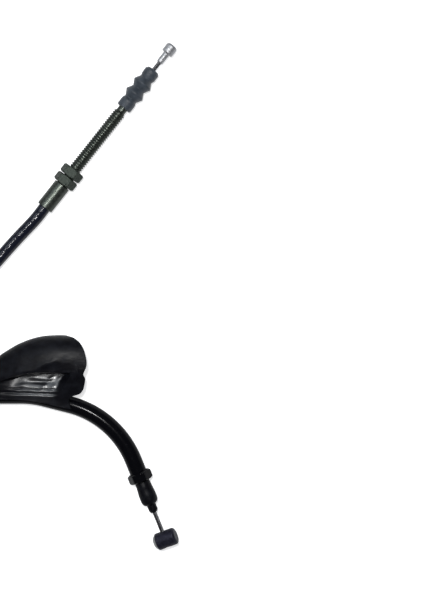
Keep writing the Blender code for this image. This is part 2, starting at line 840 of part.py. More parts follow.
def lever_wire(parent):
    """Inner wire from inside the bush to the barrel nipple."""
    start = PIPE_END - BUSH_DEPTH
    end = LEVER_NIPPLE_AT - LEVER_NIPPLE_D / 2 + LEVER_NIPPLE_BORE_DEPTH - SEAT_GAP
    mesh = rod_mesh("lever_wire", WIRE_R, end - start, sides=14)
    return place("lever_wire", mesh, parent, ("wire_steel", WIRE_STEEL), start)


def lever_barrel_nipple(parent):
    """Barrel nipple that turns in the lever, with the wire entering through its side."""
    radius = LEVER_NIPPLE_D / 2
    half = LEVER_NIPPLE_LENGTH / 2
    edge = LEVER_NIPPLE_EDGE
    dome = LEVER_NIPPLE_DOME
    outer = [
        (radius - 2.2 * edge, -half),
        (radius - edge * 0.5, -half + edge * 0.5),
        (radius, -half + 1.5 * edge),
    ]
    outer += quarter(radius - dome, half - dome, radius, half)
    points = [(0.0, outer[-1][1]), *reversed(outer), (0.0, outer[0][1])]
    piece = place(
        "lever_barrel_nipple",
        profile_mesh("lever_barrel_nipple", points, False),
        parent,
        ("dark_zinc", DARK_ZINC),
        LEVER_NIPPLE_AT,
    )
    across = Matrix.Rotation(-math.pi / 2, 4, "X")
    piece.rotation_euler = (Matrix.Rotation(LEVER_NIPPLE_ROLL, 4, "Z") @ across).to_euler()
    screw(piece)
    bore_r = WIRE_R + CAST_GAP
    floor = LEVER_NIPPLE_AT - radius + LEVER_NIPPLE_BORE_DEPTH
    hole = rod_mesh("nipple_hole", bore_r, LEVER_NIPPLE_BORE_DEPTH + 0.002, sides=20)
    cut(piece, cutter("nipple_hole", hole, parent, floor - LEVER_NIPPLE_BORE_DEPTH - 0.002))
    far = LEVER_NIPPLE_AT + radius
    cup = rod_mesh("solder_cup", SOLDER_CUP_D / 2, SOLDER_CUP_DEPTH + 0.002, sides=20)
    cut(piece, cutter("solder_cup", cup, parent, far - SOLDER_CUP_DEPTH))
    return piece


# Lever boot


def hood_height(x, y, far, lip):
    """Height of the hood's outer surface over a point of the sheet."""
    ridge = interpolate(RIDGE_LINE, x)
    crown = interpolate(CROWN_HEIGHT, x)
    sleeve = CABLE_HEIGHT + PIPE_R + SEAT_GAP + BOOT_WALL
    if y > ridge:
        t = min((y - ridge) / (far - ridge), 1.0)
        round_off = (1.0 - t**CROWN_POWER) ** (1 / CROWN_POWER)
        z = FAR_EDGE_HEIGHT + (crown - FAR_EDGE_HEIGHT) * round_off
    else:
        z = crown + (sleeve - crown) * smoothstep(ridge, lip, y)
    fold = interpolate(FOLD_LINE, x)
    leaned = x + HOLLOW_LEAN * (fold - y)
    along = smoothstep(*HOLLOW_START_X, x) * (1.0 - smoothstep(*HOLLOW_END_X, leaned))
    across = smoothstep(fold, fold - FOLD_DROP, y) * (1.0 - smoothstep(*HOLLOW_RISE_Y, y))
    z -= HOLLOW_DEPTH * along * across
    z -= GROOVE_DEPTH * along * bump(y, interpolate(GROOVE_LINE, x), GROOVE_WIDTH)
    return z


def hood_point(share_x, column):
    """Outer surface of the hood. Columns run from the lip over the crown to the far edge,
    then back along the floor to the lower lip."""
    v = interpolate(COLUMN_SPREAD, max(0.0, 1.0 - column / UPPER_COLUMNS))
    rim = interpolate(RIM_OUTLINE, v)
    x = NECK_END_X + share_x * (rim - NECK_END_X)
    far = interpolate(HOOD_OUTLINE, x)
    if column > UPPER_COLUMNS:
        return floor_point(x, far, column - UPPER_COLUMNS)
    lip = interpolate(LIP_LINE, x)
    y = far + v * (lip - far)
    bead = RIM_BEAD * smoothstep(RIM_BEAD_WIDTH, RIM_BEAD_WIDTH * RIM_BEAD_START, rim - x)
    return Vector((x, y, hood_height(x, y, far, lip) + bead))


def floor_point(x, far, step):
    """Underside of the hood: a rounded far edge, then flat on the floor."""
    lower_lip = LEVER_STRAND_Y + PIPE_R + LOWER_LIP_GAP
    tuck = FAR_EDGE_HEIGHT * FAR_EDGE_TUCK
    if step <= FAR_EDGE_STEPS:
        t = math.pi / 2 * step / FAR_EDGE_STEPS
        return Vector((x, far - tuck * (1 - math.cos(t)), FAR_EDGE_HEIGHT * (1 - math.sin(t))))
    t = (step - FAR_EDGE_STEPS) / (LOWER_COLUMNS - FAR_EDGE_STEPS)
    return Vector((x, far - tuck + t * (lower_lip - far + tuck), 0.0))


def neck_point(x, column):
    """Outer surface of the neck, a round sleeve on the casing."""
    radius = CASING_R + SEAT_GAP + BOOT_WALL
    if column <= UPPER_COLUMNS:
        angle = NECK_LIP_ANGLE * (1 - column / UPPER_COLUMNS)
    elif column <= UPPER_COLUMNS + LOWER_COLUMNS:
        angle = NECK_FLOOR_ANGLE * (column - UPPER_COLUMNS) / LOWER_COLUMNS
    else:
        wrap = (column - UPPER_COLUMNS - LOWER_COLUMNS) / (WRAP_COLUMNS + 1)
        angle = NECK_FLOOR_ANGLE - (360 + NECK_FLOOR_ANGLE - NECK_LIP_ANGLE) * wrap
    angle = math.radians(angle)
    y = LEVER_STRAND_Y + radius * math.cos(angle)
    return Vector((x, y, CABLE_HEIGHT + radius * math.sin(angle)))


def lever_boot(parent):
    """Rubber hood that covers the lever's adjuster, moulded in one piece."""
    around = UPPER_COLUMNS + LOWER_COLUMNS + 1 + WRAP_COLUMNS
    form = bmesh.new()
    rows = []
    stations = []
    for k in range(BOOT_STATIONS + 1):
        share = k / BOOT_STATIONS
        row = []
        for column in range(around):
            wrapped = column > UPPER_COLUMNS + LOWER_COLUMNS
            hood = hood_point(share, min(column, UPPER_COLUMNS + LOWER_COLUMNS))
            blend = smoothstep(NECK_END_X + NECK_LENGTH, HOOD_FULL_X, hood.x)
            ring = neck_point(hood.x, column)
            row.append(form.verts.new(ring if wrapped else ring.lerp(hood, blend)))
        rows.append(row)
        stations.append(NECK_END_X + share * (RIM_OUTLINE[0][1] - NECK_END_X))
    for k in range(BOOT_STATIONS):
        closed = stations[k + 1] <= SLIT_START_X
        for column in range(around):
            after = (column + 1) % around
            slit = column >= UPPER_COLUMNS + LOWER_COLUMNS
            if slit and not closed:
                continue
            form.faces.new((rows[k][column], rows[k][after], rows[k + 1][after], rows[k + 1][column]))
    loose = [vert for vert in form.verts if not vert.link_faces]
    bmesh.ops.delete(form, geom=loose, context="VERTS")
    bmesh.ops.recalc_face_normals(form, faces=form.faces)
    mesh = bpy.data.meshes.new("lever_boot")
    form.to_mesh(mesh)
    form.free()
    mesh.shade_smooth()
    piece = place("lever_boot", mesh, parent, ("rubber", RUBBER))
    wall = piece.modifiers.new("wall", "SOLIDIFY")
    wall.thickness = BOOT_WALL
    wall.offset = -1.0
    wall.use_even_offset = True
    return piece


def build():
    sheet = bpy.data.objects.new("sheet", None)
    sheet.location = (-BASE_CENTRE[0], -BASE_CENTRE[1], 0.0)
    PARTS.objects.link(sheet)

    engine = axis_frame("engine_axis", ENGINE_BASE, ENGINE_ANGLE, ENGINE_AXIS_Z, sheet)
    adjuster_screw(engine)
    conduit_end(engine)
    liner_end("liner_engine_end", LINER_BASE, LINER_REACH, engine)
    nut_bore = THREAD_D / 2 + SEAT_GAP
    first = BARREL_TOP + SEAT_GAP + NUT_THICKNESS / 2
    second = first + NUT_THICKNESS + SEAT_GAP
    grey = ("grey_steel", GREY_STEEL)
    hex_piece("lock_nut_lower", NUT_FLATS, NUT_THICKNESS, nut_bore, engine, grey, first)
    hex_piece("lock_nut_upper", NUT_FLATS, NUT_THICKNESS, nut_bore, engine, grey, second)
    bellows_boot(engine)
    engine_wire(engine)
    engine_nipple(engine)

    engine_strand(sheet)
    casing_coil(sheet)
    lever_strand(sheet)

    elbow_pipe(sheet)
    points, angle = pipe_path()
    heading = Vector((math.cos(angle), math.sin(angle), 0.0))
    middle = points[-1] - heading * COLLAR_INSET
    lever = axis_frame("lever_axis", (middle.x, middle.y), angle, LEVER_AXIS_Z, sheet)
    black = ("black_paint", BLACK_PAINT)
    collar_bore = PIPE_R + SEAT_GAP
    hex_piece("elbow_collar", COLLAR_FLATS, COLLAR_THICKNESS, collar_bore, lever, black, 0.0)
    outlet_bush(lever)
    liner_end("liner_lever_end", PIPE_END - BUSH_DEPTH, BUSH_DEPTH + SPIGOT_LENGTH, lever)
    nose_seal(lever)
    lever_wire(lever)
    lever_barrel_nipple(lever)
    lever_boot(sheet)


build()
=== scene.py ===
"""The looks of a motorcycle clutch cable that lies on a pale floor.

Metres, in the part's frame. Places on the cable are given as on its sheet, with x to the
right and y upward from the sheet's top left corner, less BASE_CENTRE.
"""

import json
import math

import bmesh
import bpy
from mathutils import Matrix, Vector, noise


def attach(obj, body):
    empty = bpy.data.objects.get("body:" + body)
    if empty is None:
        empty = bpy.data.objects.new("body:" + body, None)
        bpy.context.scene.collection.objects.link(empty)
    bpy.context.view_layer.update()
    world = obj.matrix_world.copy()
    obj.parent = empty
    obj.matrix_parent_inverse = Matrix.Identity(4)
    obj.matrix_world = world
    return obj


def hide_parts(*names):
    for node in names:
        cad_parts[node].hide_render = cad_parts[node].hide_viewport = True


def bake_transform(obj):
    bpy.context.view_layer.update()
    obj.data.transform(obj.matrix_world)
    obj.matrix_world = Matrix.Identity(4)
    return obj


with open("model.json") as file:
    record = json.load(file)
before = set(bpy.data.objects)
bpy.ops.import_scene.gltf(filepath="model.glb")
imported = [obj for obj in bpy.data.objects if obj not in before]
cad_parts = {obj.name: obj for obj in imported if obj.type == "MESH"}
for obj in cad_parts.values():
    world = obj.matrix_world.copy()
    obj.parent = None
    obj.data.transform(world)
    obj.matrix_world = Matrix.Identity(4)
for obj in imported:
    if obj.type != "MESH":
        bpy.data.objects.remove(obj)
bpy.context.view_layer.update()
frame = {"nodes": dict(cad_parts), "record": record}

# Sizes shared with the part
BASE_CENTRE = (0.0289, -0.1426)
SEAT_GAP = 0.0003
CAST_GAP = 0.0002
CASING_R = 0.0030
WIRE_R = 0.00095
JACKET_DEPTH = 0.0062
PIPE_ENTRY = 0.0080
ENGINE_BASE = (0.0214, -0.0996)
ENGINE_ANGLE = math.radians(51.6)
ENGINE_Z = 0.0050
BARREL_R = 0.0040
BARREL_TOP = 0.0137
THREAD_R = 0.0030
THREAD_TOP = 0.0586
GROOVE_R = 0.00225
GROOVE_TOP = 0.0620
HEAD_R = 0.0027
SCREW_TOP = 0.0644
NUT_FLATS = 0.0100
NUT_THICKNESS = 0.0045
CUP_BASE = 0.0609
FOLDS_BASE = 0.0665
FOLD_PITCH = 0.0060
BELLOWS_TOP = 0.0841
SHANK_BASE = 0.0885
SHANK_LENGTH = 0.0059
NIPPLE_LENGTH = 0.0047
COIL_RADIUS = 0.0320
COIL_LAYERS = 3
STRAND_ANGLE = math.radians(49.2)
STRAND_POINT = (0.0051, -0.1180)
STRAND_Y = -0.1898
CABLE_Z = 0.0045
STRAIGHT_RUN = 0.0080
LIFT_START = 0.0350
LIFT_START_RISE = 0.0016
RAMP_BEFORE = 0.0240
RAMP_SAG = 0.0018
CROSSING_HALF = (0.0060, 0.0080)
SETTLE = 0.0004
LAND_RUN = 0.0180
BOOT_TRAVEL = 0.0200
LEVEL_RUN = 0.0090
NECK_END_X = -0.0280
PIPE_R = 0.0041
PIPE_BORE_R = 0.0033
PIPE_START_X = -0.0050
PIPE_BEND_RADIUS = 0.0448
PIPE_RUNS = (0.0152, 0.0127, 0.0105)
PIPE_BENDS = (math.radians(14), math.radians(54))
COLLAR_FLATS = 0.0104
COLLAR_THICKNESS = 0.0045
COLLAR_INSET = 0.0020
LEVER_Z = 0.0052
NOSE_BASE = 0.00255
NOSE_STEP = 0.01425
NOSE_TIP = 0.01825
LEVER_NIPPLE_AT = 0.03235
LEVER_NIPPLE_R = 0.0041
LEVER_NIPPLE_HALF = 0.00565
LEVER_NIPPLE_ROLL = math.radians(9)

# Camera
CAMERA_AT = (0.07766, 0.00052, 0.5575)
CAMERA_LENS = 70.0

# Light
HORIZON = (0.90, 0.92, 0.95)
ZENITH = (0.12, 0.125, 0.14)
BROAD_AT = (-0.45, 0.76, 1.10)
BROAD_SIZE = 0.90
BROAD_POWER = 4.6
BROAD_COLOUR = (0.84, 0.92, 1.0)
LAMPS = (  # place, size and power of the small lamps
    ((0.0335, 0.0812, 0.56), 0.050, 1.8),
    ((-0.1340, 0.0880, 0.56), 0.030, 0.5),
)
HORIZON_BAND = (0.02, 0.16)  # rise of the view over which it darkens
FLOOR_HALF = 3.0
FLOOR_DROP = 0.0001  # just below the part
FLOOR_COLOUR = (0.80, 0.80, 0.80)
FLOOR_GLOW = (0.68, 0.68, 0.68)  # added where the camera sees the floor
FLOOR_MIRRORED = (0.12, 0.12, 0.12)  # added where a reflection sees it

# Surface detail
THREAD_PITCH = 0.00125
THREAD_DEPTH = 0.00046
THREAD_CREST = 0.30  # width of the crest, of a pitch
THREAD_FLANKS = 0.56  # width of both flanks, of a pitch
THREAD_RUN_IN = (0.0002, 0.0022)  # where it deepens, past the barrel's end
THREAD_RUN_OUT = 0.0010
LAY_LENGTH = 0.0110
OUTER_STRANDS = 12
STRAND_SHARE = 0.215  # a strand's radius, of the wire's
CORE_SWELL = 1.03  # drawn thicker, so that core and strands touch
STRAND_SWELL = 1.12
WIRE_SPACING = 0.0005

# Shiny part of the hood's hollow, on the sheet
SHINY_LEFT = 0.0050
SHINY_LEFT_FADE = 0.0120
SHINY_RIGHT = 0.0345
SHINY_RIGHT_FADE = 0.0040
HOLLOW_LEAN = 0.6  # its right end leans along the cuff
SHINY_TOP = -0.1790
SHINY_TOP_FADE = (0.0006, -0.0010)  # above and below its top edge
SHINY_BOTTOM = -0.1935
SHINY_BOTTOM_FADE = 0.0040


def on_sheet(x, y, z=0.0):
    """A place on the sheet, in the part's frame."""
    return Vector((x - BASE_CENTRE[0], y - BASE_CENTRE[1], z))


def smoothstep(low, high, x):
    t = min(max((x - low) / (high - low), 0.0), 1.0)
    return t * t * (3 - 2 * t)


def bump(x, middle, width):
    t = (x - middle) / width
    return math.exp(-t * t)


def interpolate(table, x):
    """A smooth line through a few points."""
    if x <= table[0][0]:
        return table[0][1]
    if x >= table[-1][0]:
        return table[-1][1]
    k = next(i for i in range(len(table) - 1) if table[i + 1][0] >= x)
    slopes = [
        (table[i + 1][1] - table[i][1]) / (table[i + 1][0] - table[i][0])
        for i in range(len(table) - 1)
    ]

    def tangent(i):
        if i == 0:
            return slopes[0]
        if i == len(table) - 1:
            return slopes[-1]
        return (slopes[i - 1] + slopes[i]) / 2

    x0, y0 = table[k]
    x1, y1 = table[k + 1]
    width = x1 - x0
    t = (x - x0) / width
    rise = (2 * t**3 - 3 * t**2 + 1) * y0 + (3 * t**2 - 2 * t**3) * y1
    lean = (t**3 - 2 * t**2 + t) * tangent(k) + (t**3 - t**2) * tangent(k + 1)
    return rise + width * lean


ROUTE_STEPS = 40


def smooth_route(points, spacing):
    """Even points on a smooth curve through the route's own points."""
    points = [Vector(p) for p in points]
    padded = [2 * points[0] - points[1], *points, 2 * points[-1] - points[-2]]
    fine = []
    for k in range(1, len(padded) - 2):
        a, b, c, d = padded[k - 1 : k + 3]
        for step in range(ROUTE_STEPS):
            t = step / ROUTE_STEPS
            spot = 2 * b + (c - a) * t + (2 * a - 5 * b + 4 * c - d) * t * t
            fine.append(0.5 * (spot + (3 * b - a - 3 * c + d) * t**3))
    fine.append(points[-1])
    return even_points(fine, spacing)


def even_points(fine, spacing):
    """Points at an even spacing along a line of many points."""
    lengths = [0.0]
    for before, after in zip(fine, fine[1:]):
        lengths.append(lengths[-1] + (after - before).length)
    count = max(2, round(lengths[-1] / spacing))
    even = []
    k = 0
    for step in range(count + 1):
        wanted = lengths[-1] * step / count
        while k < len(lengths) - 2 and lengths[k + 1] < wanted:
            k += 1
        share = (wanted - lengths[k]) / max(lengths[k + 1] - lengths[k], 1e-12)
        even.append(fine[k].lerp(fine[k + 1], min(max(share, 0.0), 1.0)))
    return even


def length_of(points):
    return sum((b - a).length for a, b in zip(points, points[1:]))


def axis_matrix(point, angle, height):
    """+Z along a level axis at `angle` on the sheet, and +X straight up."""
    along = Vector((math.cos(angle), math.sin(angle), 0.0))
    up = Vector((0.0, 0.0, 1.0))
    turn = Matrix((up, along.cross(up), along)).transposed().to_4x4()
    return Matrix.Translation(on_sheet(*point, height)) @ turn


# Shaders


class Socket:
    """A shader output that sums and products can be written with."""

    def __init__(self, tree, output=None):
        self.tree = tree
        self.output = output

    def feed(self, target, value):
        if isinstance(value, Socket):
            self.tree.links.new(value.output, target)
        else:
            target.default_value = value

    def make(self, kind, settings=None, inputs=None, output=0):
        """Any other node, with its settings, and its inputs as numbers or sockets."""
        node = self.tree.nodes.new("ShaderNode" + kind)
        for key, value in (settings or {}).items():
            setattr(node, key, value)
        for key, value in (inputs or {}).items():
            self.feed(node.inputs[key], value)
        return Socket(self.tree, node.outputs[output])

    def maths(self, operation, *values):
        return self.make("Math", {"operation": operation}, dict(enumerate(values)))

    def __add__(self, other):
        return self.maths("ADD", self, other)

    __radd__ = __add__

    def __mul__(self, other):
        return self.maths("MULTIPLY", self, other)

    __rmul__ = __mul__

    def __sub__(self, other):
        return self.maths("SUBTRACT", self, other)

    def clamped(self, low, high):
        """0 below `low` and 1 above `high`, with an even rise between."""
        ends = {"Value": self, "From Min": low, "From Max": high}
        return self.make("MapRange", {"clamp": True}, ends)

    def between(self, first, second):
        """The mix of two colours that this socket sets."""
        mix = self.tree.nodes.new("ShaderNodeMix")
        mix.data_type = "RGBA"
        self.feed(mix.inputs["Factor"], self)
        for key, value in (("A", first), ("B", second)):
            target = next(i for i in mix.inputs if i.name == key and i.type == "RGBA")
            self.feed(target, value if isinstance(value, Socket) else (*value, 1.0))
        return Socket(self.tree, next(o for o in mix.outputs if o.type == "RGBA"))


def new_material(name, metallic=0.0, fixed=None):
    """A material with its Principled shader and a socket to start its nodes from."""
    made = bpy.data.materials.new(name)
    made.use_nodes = True
    shader = made.node_tree.nodes["Principled BSDF"]
    shader.inputs["Metallic"].default_value = metallic
    for key, value in (fixed or {}).items():
        shader.inputs[key].default_value = value
    return made, shader, Socket(made.node_tree)


# Dark and light tone of each finish, and depth of its relief
JACKET_TONES = ((0.0050, 0.0060, 0.0135), (0.016, 0.018, 0.030))
JACKET_WAVE = 0.00035
PAINT_TONES = ((0.0020, 0.0020, 0.0030), (0.010, 0.010, 0.013))
PAINT_PEEL = 0.00008
RUBBER_TONES = ((0.0030, 0.0030, 0.0045), (0.0090, 0.0100, 0.0140))
RUBBER_FLOW = 0.0006
SLATE_TONES = ((0.021, 0.029, 0.039), (0.042, 0.054, 0.070))
SLATE_GRAIN = 0.00006
NYLON_TONES = ((0.62, 0.60, 0.54), (0.78, 0.77, 0.72))
NYLON_CLOUD = 0.00005
# Dark and light tone, roughness, metallic, depth of the pits and specular level
METALS = {
    "olive_steel": ((0.036, 0.042, 0.036), (0.080, 0.090, 0.076), 0.25, 0.8, 0.000015, 0.5),
    "grey_steel": ((0.014, 0.022, 0.017), (0.060, 0.071, 0.058), 0.46, 0.6, 0.00008, 0.5),
    "bright_zinc": ((0.34, 0.345, 0.35), (0.52, 0.52, 0.53), 0.42, 1.0, 0.00003, 0.5),
    "dark_zinc": ((0.009, 0.009, 0.015), (0.026, 0.026, 0.042), 0.34, 0.4, 0.00003, 0.15),
    "wire_steel": ((0.055, 0.055, 0.060), (0.17, 0.17, 0.175), 0.34, 1.0, 0.00003, 0.5),
}
BARE_METAL = ((0.14, 0.146, 0.146), (0.40, 0.406, 0.406), 0.32, 1.0, 0.00003, 0.5)


def spots(start, scale, detail=3.0, stretch=(1.0, 1.0, 1.0), rough=0.5):
    """Soft noise in the piece's own space, in metres, `scale` spots to the metre."""
    place = start.make("TexCoord", output=3)
    place = start.make("Mapping", inputs={"Vector": place, "Scale": stretch})
    sizes = {"Vector": place, "Scale": scale, "Detail": detail, "Roughness": rough}
    return start.make("TexNoise", inputs=sizes)


def set_surface(start, shader, colour, roughness, height, distance):
    """Colour, roughness and fine relief, `distance` deep in metres."""
    start.feed(shader.inputs["Base Color"], colour)
    start.feed(shader.inputs["Roughness"], roughness)
    relief = {"Height": height, "Distance": distance, "Strength": 1.0}
    normal = start.make("Bump", inputs=relief)
    start.feed(shader.inputs["Normal"], normal)


def jacket_material():
    """Black vinyl with a blue cast, slightly wavy, with faint scuffs."""
    made, shader, start = new_material("jacket_vinyl", fixed={"Specular IOR Level": 0.34})
    waves = spots(start, 260, 1.0)
    grain = spots(start, 2600, 2.0)
    dust = spots(start, 420, 4.0).clamped(0.55, 0.75)
    colour = (dust * 0.5).between(*JACKET_TONES)
    roughness = 0.13 + 0.08 * dust + 0.04 * grain
    set_surface(start, shader, colour, roughness, waves + 0.04 * grain, JACKET_WAVE)
    return made


def black_paint_material():
    """Gloss black paint with a little orange peel and dust."""
    made, shader, start = new_material("black_paint", fixed={"Specular IOR Level": 0.10})
    peel = spots(start, 900, 2.0)
    swell = spots(start, 110, 1.0)
    dust = spots(start, 500, 5.0).clamped(0.56, 0.78)
    colour = (dust * 0.5).between(*PAINT_TONES)
    set_surface(start, shader, colour, 0.16 + 0.08 * dust, swell + 0.03 * peel, PAINT_PEEL)
    return made


def rubber_material():
    """Soft black rubber with a fine grain and flow marks, shiny down in the hood's hollow."""
    gloss = {"Specular IOR Level": 0.11, "Coat Roughness": 0.28, "Coat IOR": 1.62}
    made, shader, start = new_material("black_rubber", fixed=gloss)
    grain = spots(start, 5200, 3.0)
    flow = spots(start, 130, 3.0, (0.45, 1.0, 1.0))
    bloom = spots(start, 260, 5.0).clamped(0.45, 0.72)
    place = start.make("TexCoord", output=3)
    left = on_sheet(SHINY_LEFT, 0.0).x
    right = on_sheet(SHINY_RIGHT, 0.0).x
    top = on_sheet(0.0, SHINY_TOP).y
    bottom = on_sheet(0.0, SHINY_BOTTOM).y
    x = start.make("SeparateXYZ", inputs={"Vector": place}, output=0)
    y = start.make("SeparateXYZ", inputs={"Vector": place}, output=1)
    above, below = SHINY_TOP_FADE
    across = y.clamped(bottom, bottom + SHINY_BOTTOM_FADE) * y.clamped(top + above, top + below)
    leaned = x - HOLLOW_LEAN * (y - top)
    along = x.clamped(left, left + SHINY_LEFT_FADE) * leaned.clamped(right, right - SHINY_RIGHT_FADE)
    shiny = across * along
    colour = (bloom * 0.6).between(*RUBBER_TONES)
    roughness = 0.34 + 0.12 * bloom + 0.06 * grain
    start.feed(shader.inputs["Coat Weight"], shiny)
    set_surface(start, shader, colour, roughness, flow + 0.035 * grain, RUBBER_FLOW)
    return made


def slate_rubber_material():
    """Matt slate-blue rubber with a dusty bloom."""
    made, shader, start = new_material("slate_rubber", fixed={"Sheen Weight": 0.2})
    grain = spots(start, 4200, 3.0)
    bloom = spots(start, 330, 5.0).clamped(0.40, 0.70)
    colour = bloom.between(*SLATE_TONES)
    set_surface(start, shader, colour, 0.48 + 0.16 * bloom, grain + 0.6 * bloom, SLATE_GRAIN)
    return made


def metal_material(name, dark, light, roughness, metallic, pits, level):
    """Worn plated or bare metal: blotches of two tones and fine pits."""
    made, shader, start = new_material(name, metallic, {"Specular IOR Level": level})
    blotch = spots(start, 900, 5.0, rough=0.6).clamped(0.34, 0.66)
    speck = spots(start, 5200, 2.0)
    colour = (0.8 * blotch + 0.2 * speck).between(dark, light)
    rough = roughness + 0.12 * blotch + 0.05 * speck
    set_surface(start, shader, colour, rough, speck + 0.7 * blotch, pits)
    return made


def nylon_material():
    """Natural nylon, slightly cloudy."""
    made, shader, start = new_material("nylon")
    cloud = spots(start, 600, 3.0)
    colour = cloud.between(*NYLON_TONES)
    set_surface(start, shader, colour, 0.38 + 0.12 * cloud, cloud, NYLON_CLOUD)
    return made


MATERIALS = {
    "jacket": jacket_material(),
    "black_paint": black_paint_material(),
    "rubber": rubber_material(),
    "slate_rubber": slate_rubber_material(),
    **{name: metal_material(name, *look) for name, look in METALS.items()},
    "nylon": nylon_material(),
}
BARE_ZINC = metal_material("bare_zinc", *BARE_METAL)


# Mesh making


def add_rows(form, rows, hollow=False):
    """Faces over rings of points; the last ring joins the first, or both ends are capped."""
    rings = [[form.verts.new(p) for p in row] for row in rows]
    count = len(rings[0])
    pairs = list(zip(rings, rings[1:]))
    if hollow:
        pairs.append((rings[-1], rings[0]))
    for before, after in pairs:
        for k in range(count):
            n = (k + 1) % count
            form.faces.new((before[k], before[n], after[n], after[k]))
    if not hollow:
        form.faces.new(list(reversed(rings[0])))
        form.faces.new(rings[-1])


def new_object(name, data):
    """An object in the scene with this data."""
    made = bpy.data.objects.new(name, data)
    bpy.context.scene.collection.objects.link(made)
    return made


def object_from(form, name):
    """An object in the scene with the shape of the form."""
    mesh = bpy.data.meshes.new(name)
    form.to_mesh(mesh)
    form.free()
    return new_object(name, mesh)


def piece_from(form, name, slot, body=None, replaces=(), sharp=40, extra=()):
    """The finished piece, in its material, riding on its body."""
    bmesh.ops.recalc_face_normals(form, faces=form.faces)
    piece = object_from(form, name)
    mesh = piece.data
    mesh.shade_smooth()
    if sharp:
        mesh.set_sharp_from_angle(angle=math.radians(sharp))
    mesh.materials.append(MATERIALS[slot])
    for more in extra:
        mesh.materials.append(more)
    if body:
        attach(piece, body)
    if replaces:
        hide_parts(*replaces)
    return piece


def bake_modifiers(piece):
    """Makes the piece's modifiers part of its mesh."""
    depsgraph = bpy.context.evaluated_depsgraph_get()
    mesh = bpy.data.meshes.new_from_object(piece.evaluated_get(depsgraph))
    piece.modifiers.clear()
    piece.data = mesh


CORNER_SHARE = 0.48  # most that a rounding takes of the side beside it
LEAST_CORNER = 1e-6


def softened(points, radius, steps=4):
    """An outline with each corner rounded; a list of radii rounds them one by one."""
    radii = radius if isinstance(radius, (list, tuple)) else [radius] * len(points)
    soft = [points[0]]
    for k in range(1, len(points) - 1):
        here = Vector(points[k])
        before = Vector(points[k - 1]) - here
        after = Vector(points[k + 1]) - here
        reach = min(radii[k], before.length * CORNER_SHARE, after.length * CORNER_SHARE)
        if reach < LEAST_CORNER:
            soft.append(points[k])
            continue
        a = here + before.normalized() * reach
        b = here + after.normalized() * reach
        for step in range(steps + 1):
            t = step / steps
            soft.append(tuple(a * (1 - t) ** 2 + here * 2 * t * (1 - t) + b * t * t))
    soft.append(points[-1])
    return soft


def filled(points, spacing):
    """The outline with more points, none further apart than `spacing`."""
    full = []
    for a, b in zip(points, points[1:]):
        steps = max(1, math.ceil(math.dist(a, b) / spacing))
        for step in range(steps):
            t = step / steps
            full.append((a[0] + (b[0] - a[0]) * t, a[1] + (b[1] - a[1]) * t))
    full.append(points[-1])
    return full


def lathe(form, matrix, outline, steps, relief=None, hollow=False):
    """A turned body from (radius, height) points that run up its outside."""
    rows = []
    for radius, height in outline:
        row = []
        for k in range(steps):
            angle = math.tau * k / steps
            r = radius + (relief(angle, radius, height) if relief else 0.0)
            row.append(matrix @ Vector((r * math.cos(angle), r * math.sin(angle), height)))
        rows.append(row)
    add_rows(form, rows, hollow)


TUBE_EDGE = 0.0002  # chamfer of a hollow tube's ends
TUBE_EDGE_SHARE = 0.3


def tube(form, points, radius, sides, inner=None):
    """A round tube along points, hollow where `inner` gives its bore."""
    rings = []
    for k, point in enumerate(points):
        ahead = points[min(k + 1, len(points) - 1)] - points[max(k - 1, 0)]
        along = ahead.normalized()
        side = along.cross(Vector((0.0, 0.0, 1.0))).normalized()
        up = side.cross(along)
        rings.append((point, side, up))

    def ring(spot, r):
        point, side, up = spot
        turns = [math.tau * k / sides for k in range(sides)]
        return [point + side * (r * math.cos(a)) + up * (r * math.sin(a)) for a in turns]

    if inner is None:
        add_rows(form, [ring(spot, radius) for spot in rings])
        return
    edge = min(TUBE_EDGE, (radius - inner) * TUBE_EDGE_SHARE)
    first, final = rings[0], rings[-1]
    outside = [ring(first, radius - edge)]
    outside += [ring(spot, radius) for spot in rings[1:-1]]
    outside += [ring(final, radius - edge)]
    inside = [ring(spot, inner) for spot in reversed(rings)]
    add_rows(form, outside + inside, hollow=True)


# Camera, floor and light


def add_camera():
    """Straight down, from where the photograph was taken."""
    data = bpy.data.cameras.new("camera")
    data.lens = CAMERA_LENS
    camera = new_object("camera", data)
    camera.location = CAMERA_AT
    bpy.context.scene.camera = camera


def area_light(name, place, target, size, power, colour=(1.0, 1.0, 1.0)):
    """A square lamp, turned toward its target."""
    data = bpy.data.lights.new(name, "AREA")
    data.shape = "RECTANGLE"
    data.size = size
    data.size_y = size
    data.energy = power
    data.color = colour
    light = new_object(name, data)
    light.location = place
    aim = Vector(target) - Vector(place)
    light.rotation_euler = aim.to_track_quat("-Z", "Y").to_euler()


def add_light():
    """A dim room with a bright horizon, one broad soft light and two small lamps."""
    world = bpy.data.worlds.new("studio")
    world.use_nodes = True
    start = Socket(world.node_tree)
    view = start.make("TexCoord")
    rise = start.make("SeparateXYZ", inputs={"Vector": view}, output=2)
    colour = rise.clamped(*HORIZON_BAND).between(HORIZON, ZENITH)
    start.feed(world.node_tree.nodes["Background"].inputs["Color"], colour)
    bpy.context.scene.world = world
    middle = (0.0, 0.0, 0.0)
    area_light("broad_light", BROAD_AT, middle, BROAD_SIZE, BROAD_POWER, BROAD_COLOUR)
    for place, size, power in LAMPS:
        area_light("lamp", place, middle, size, power)
    bpy.context.scene.view_settings.view_transform = "Standard"


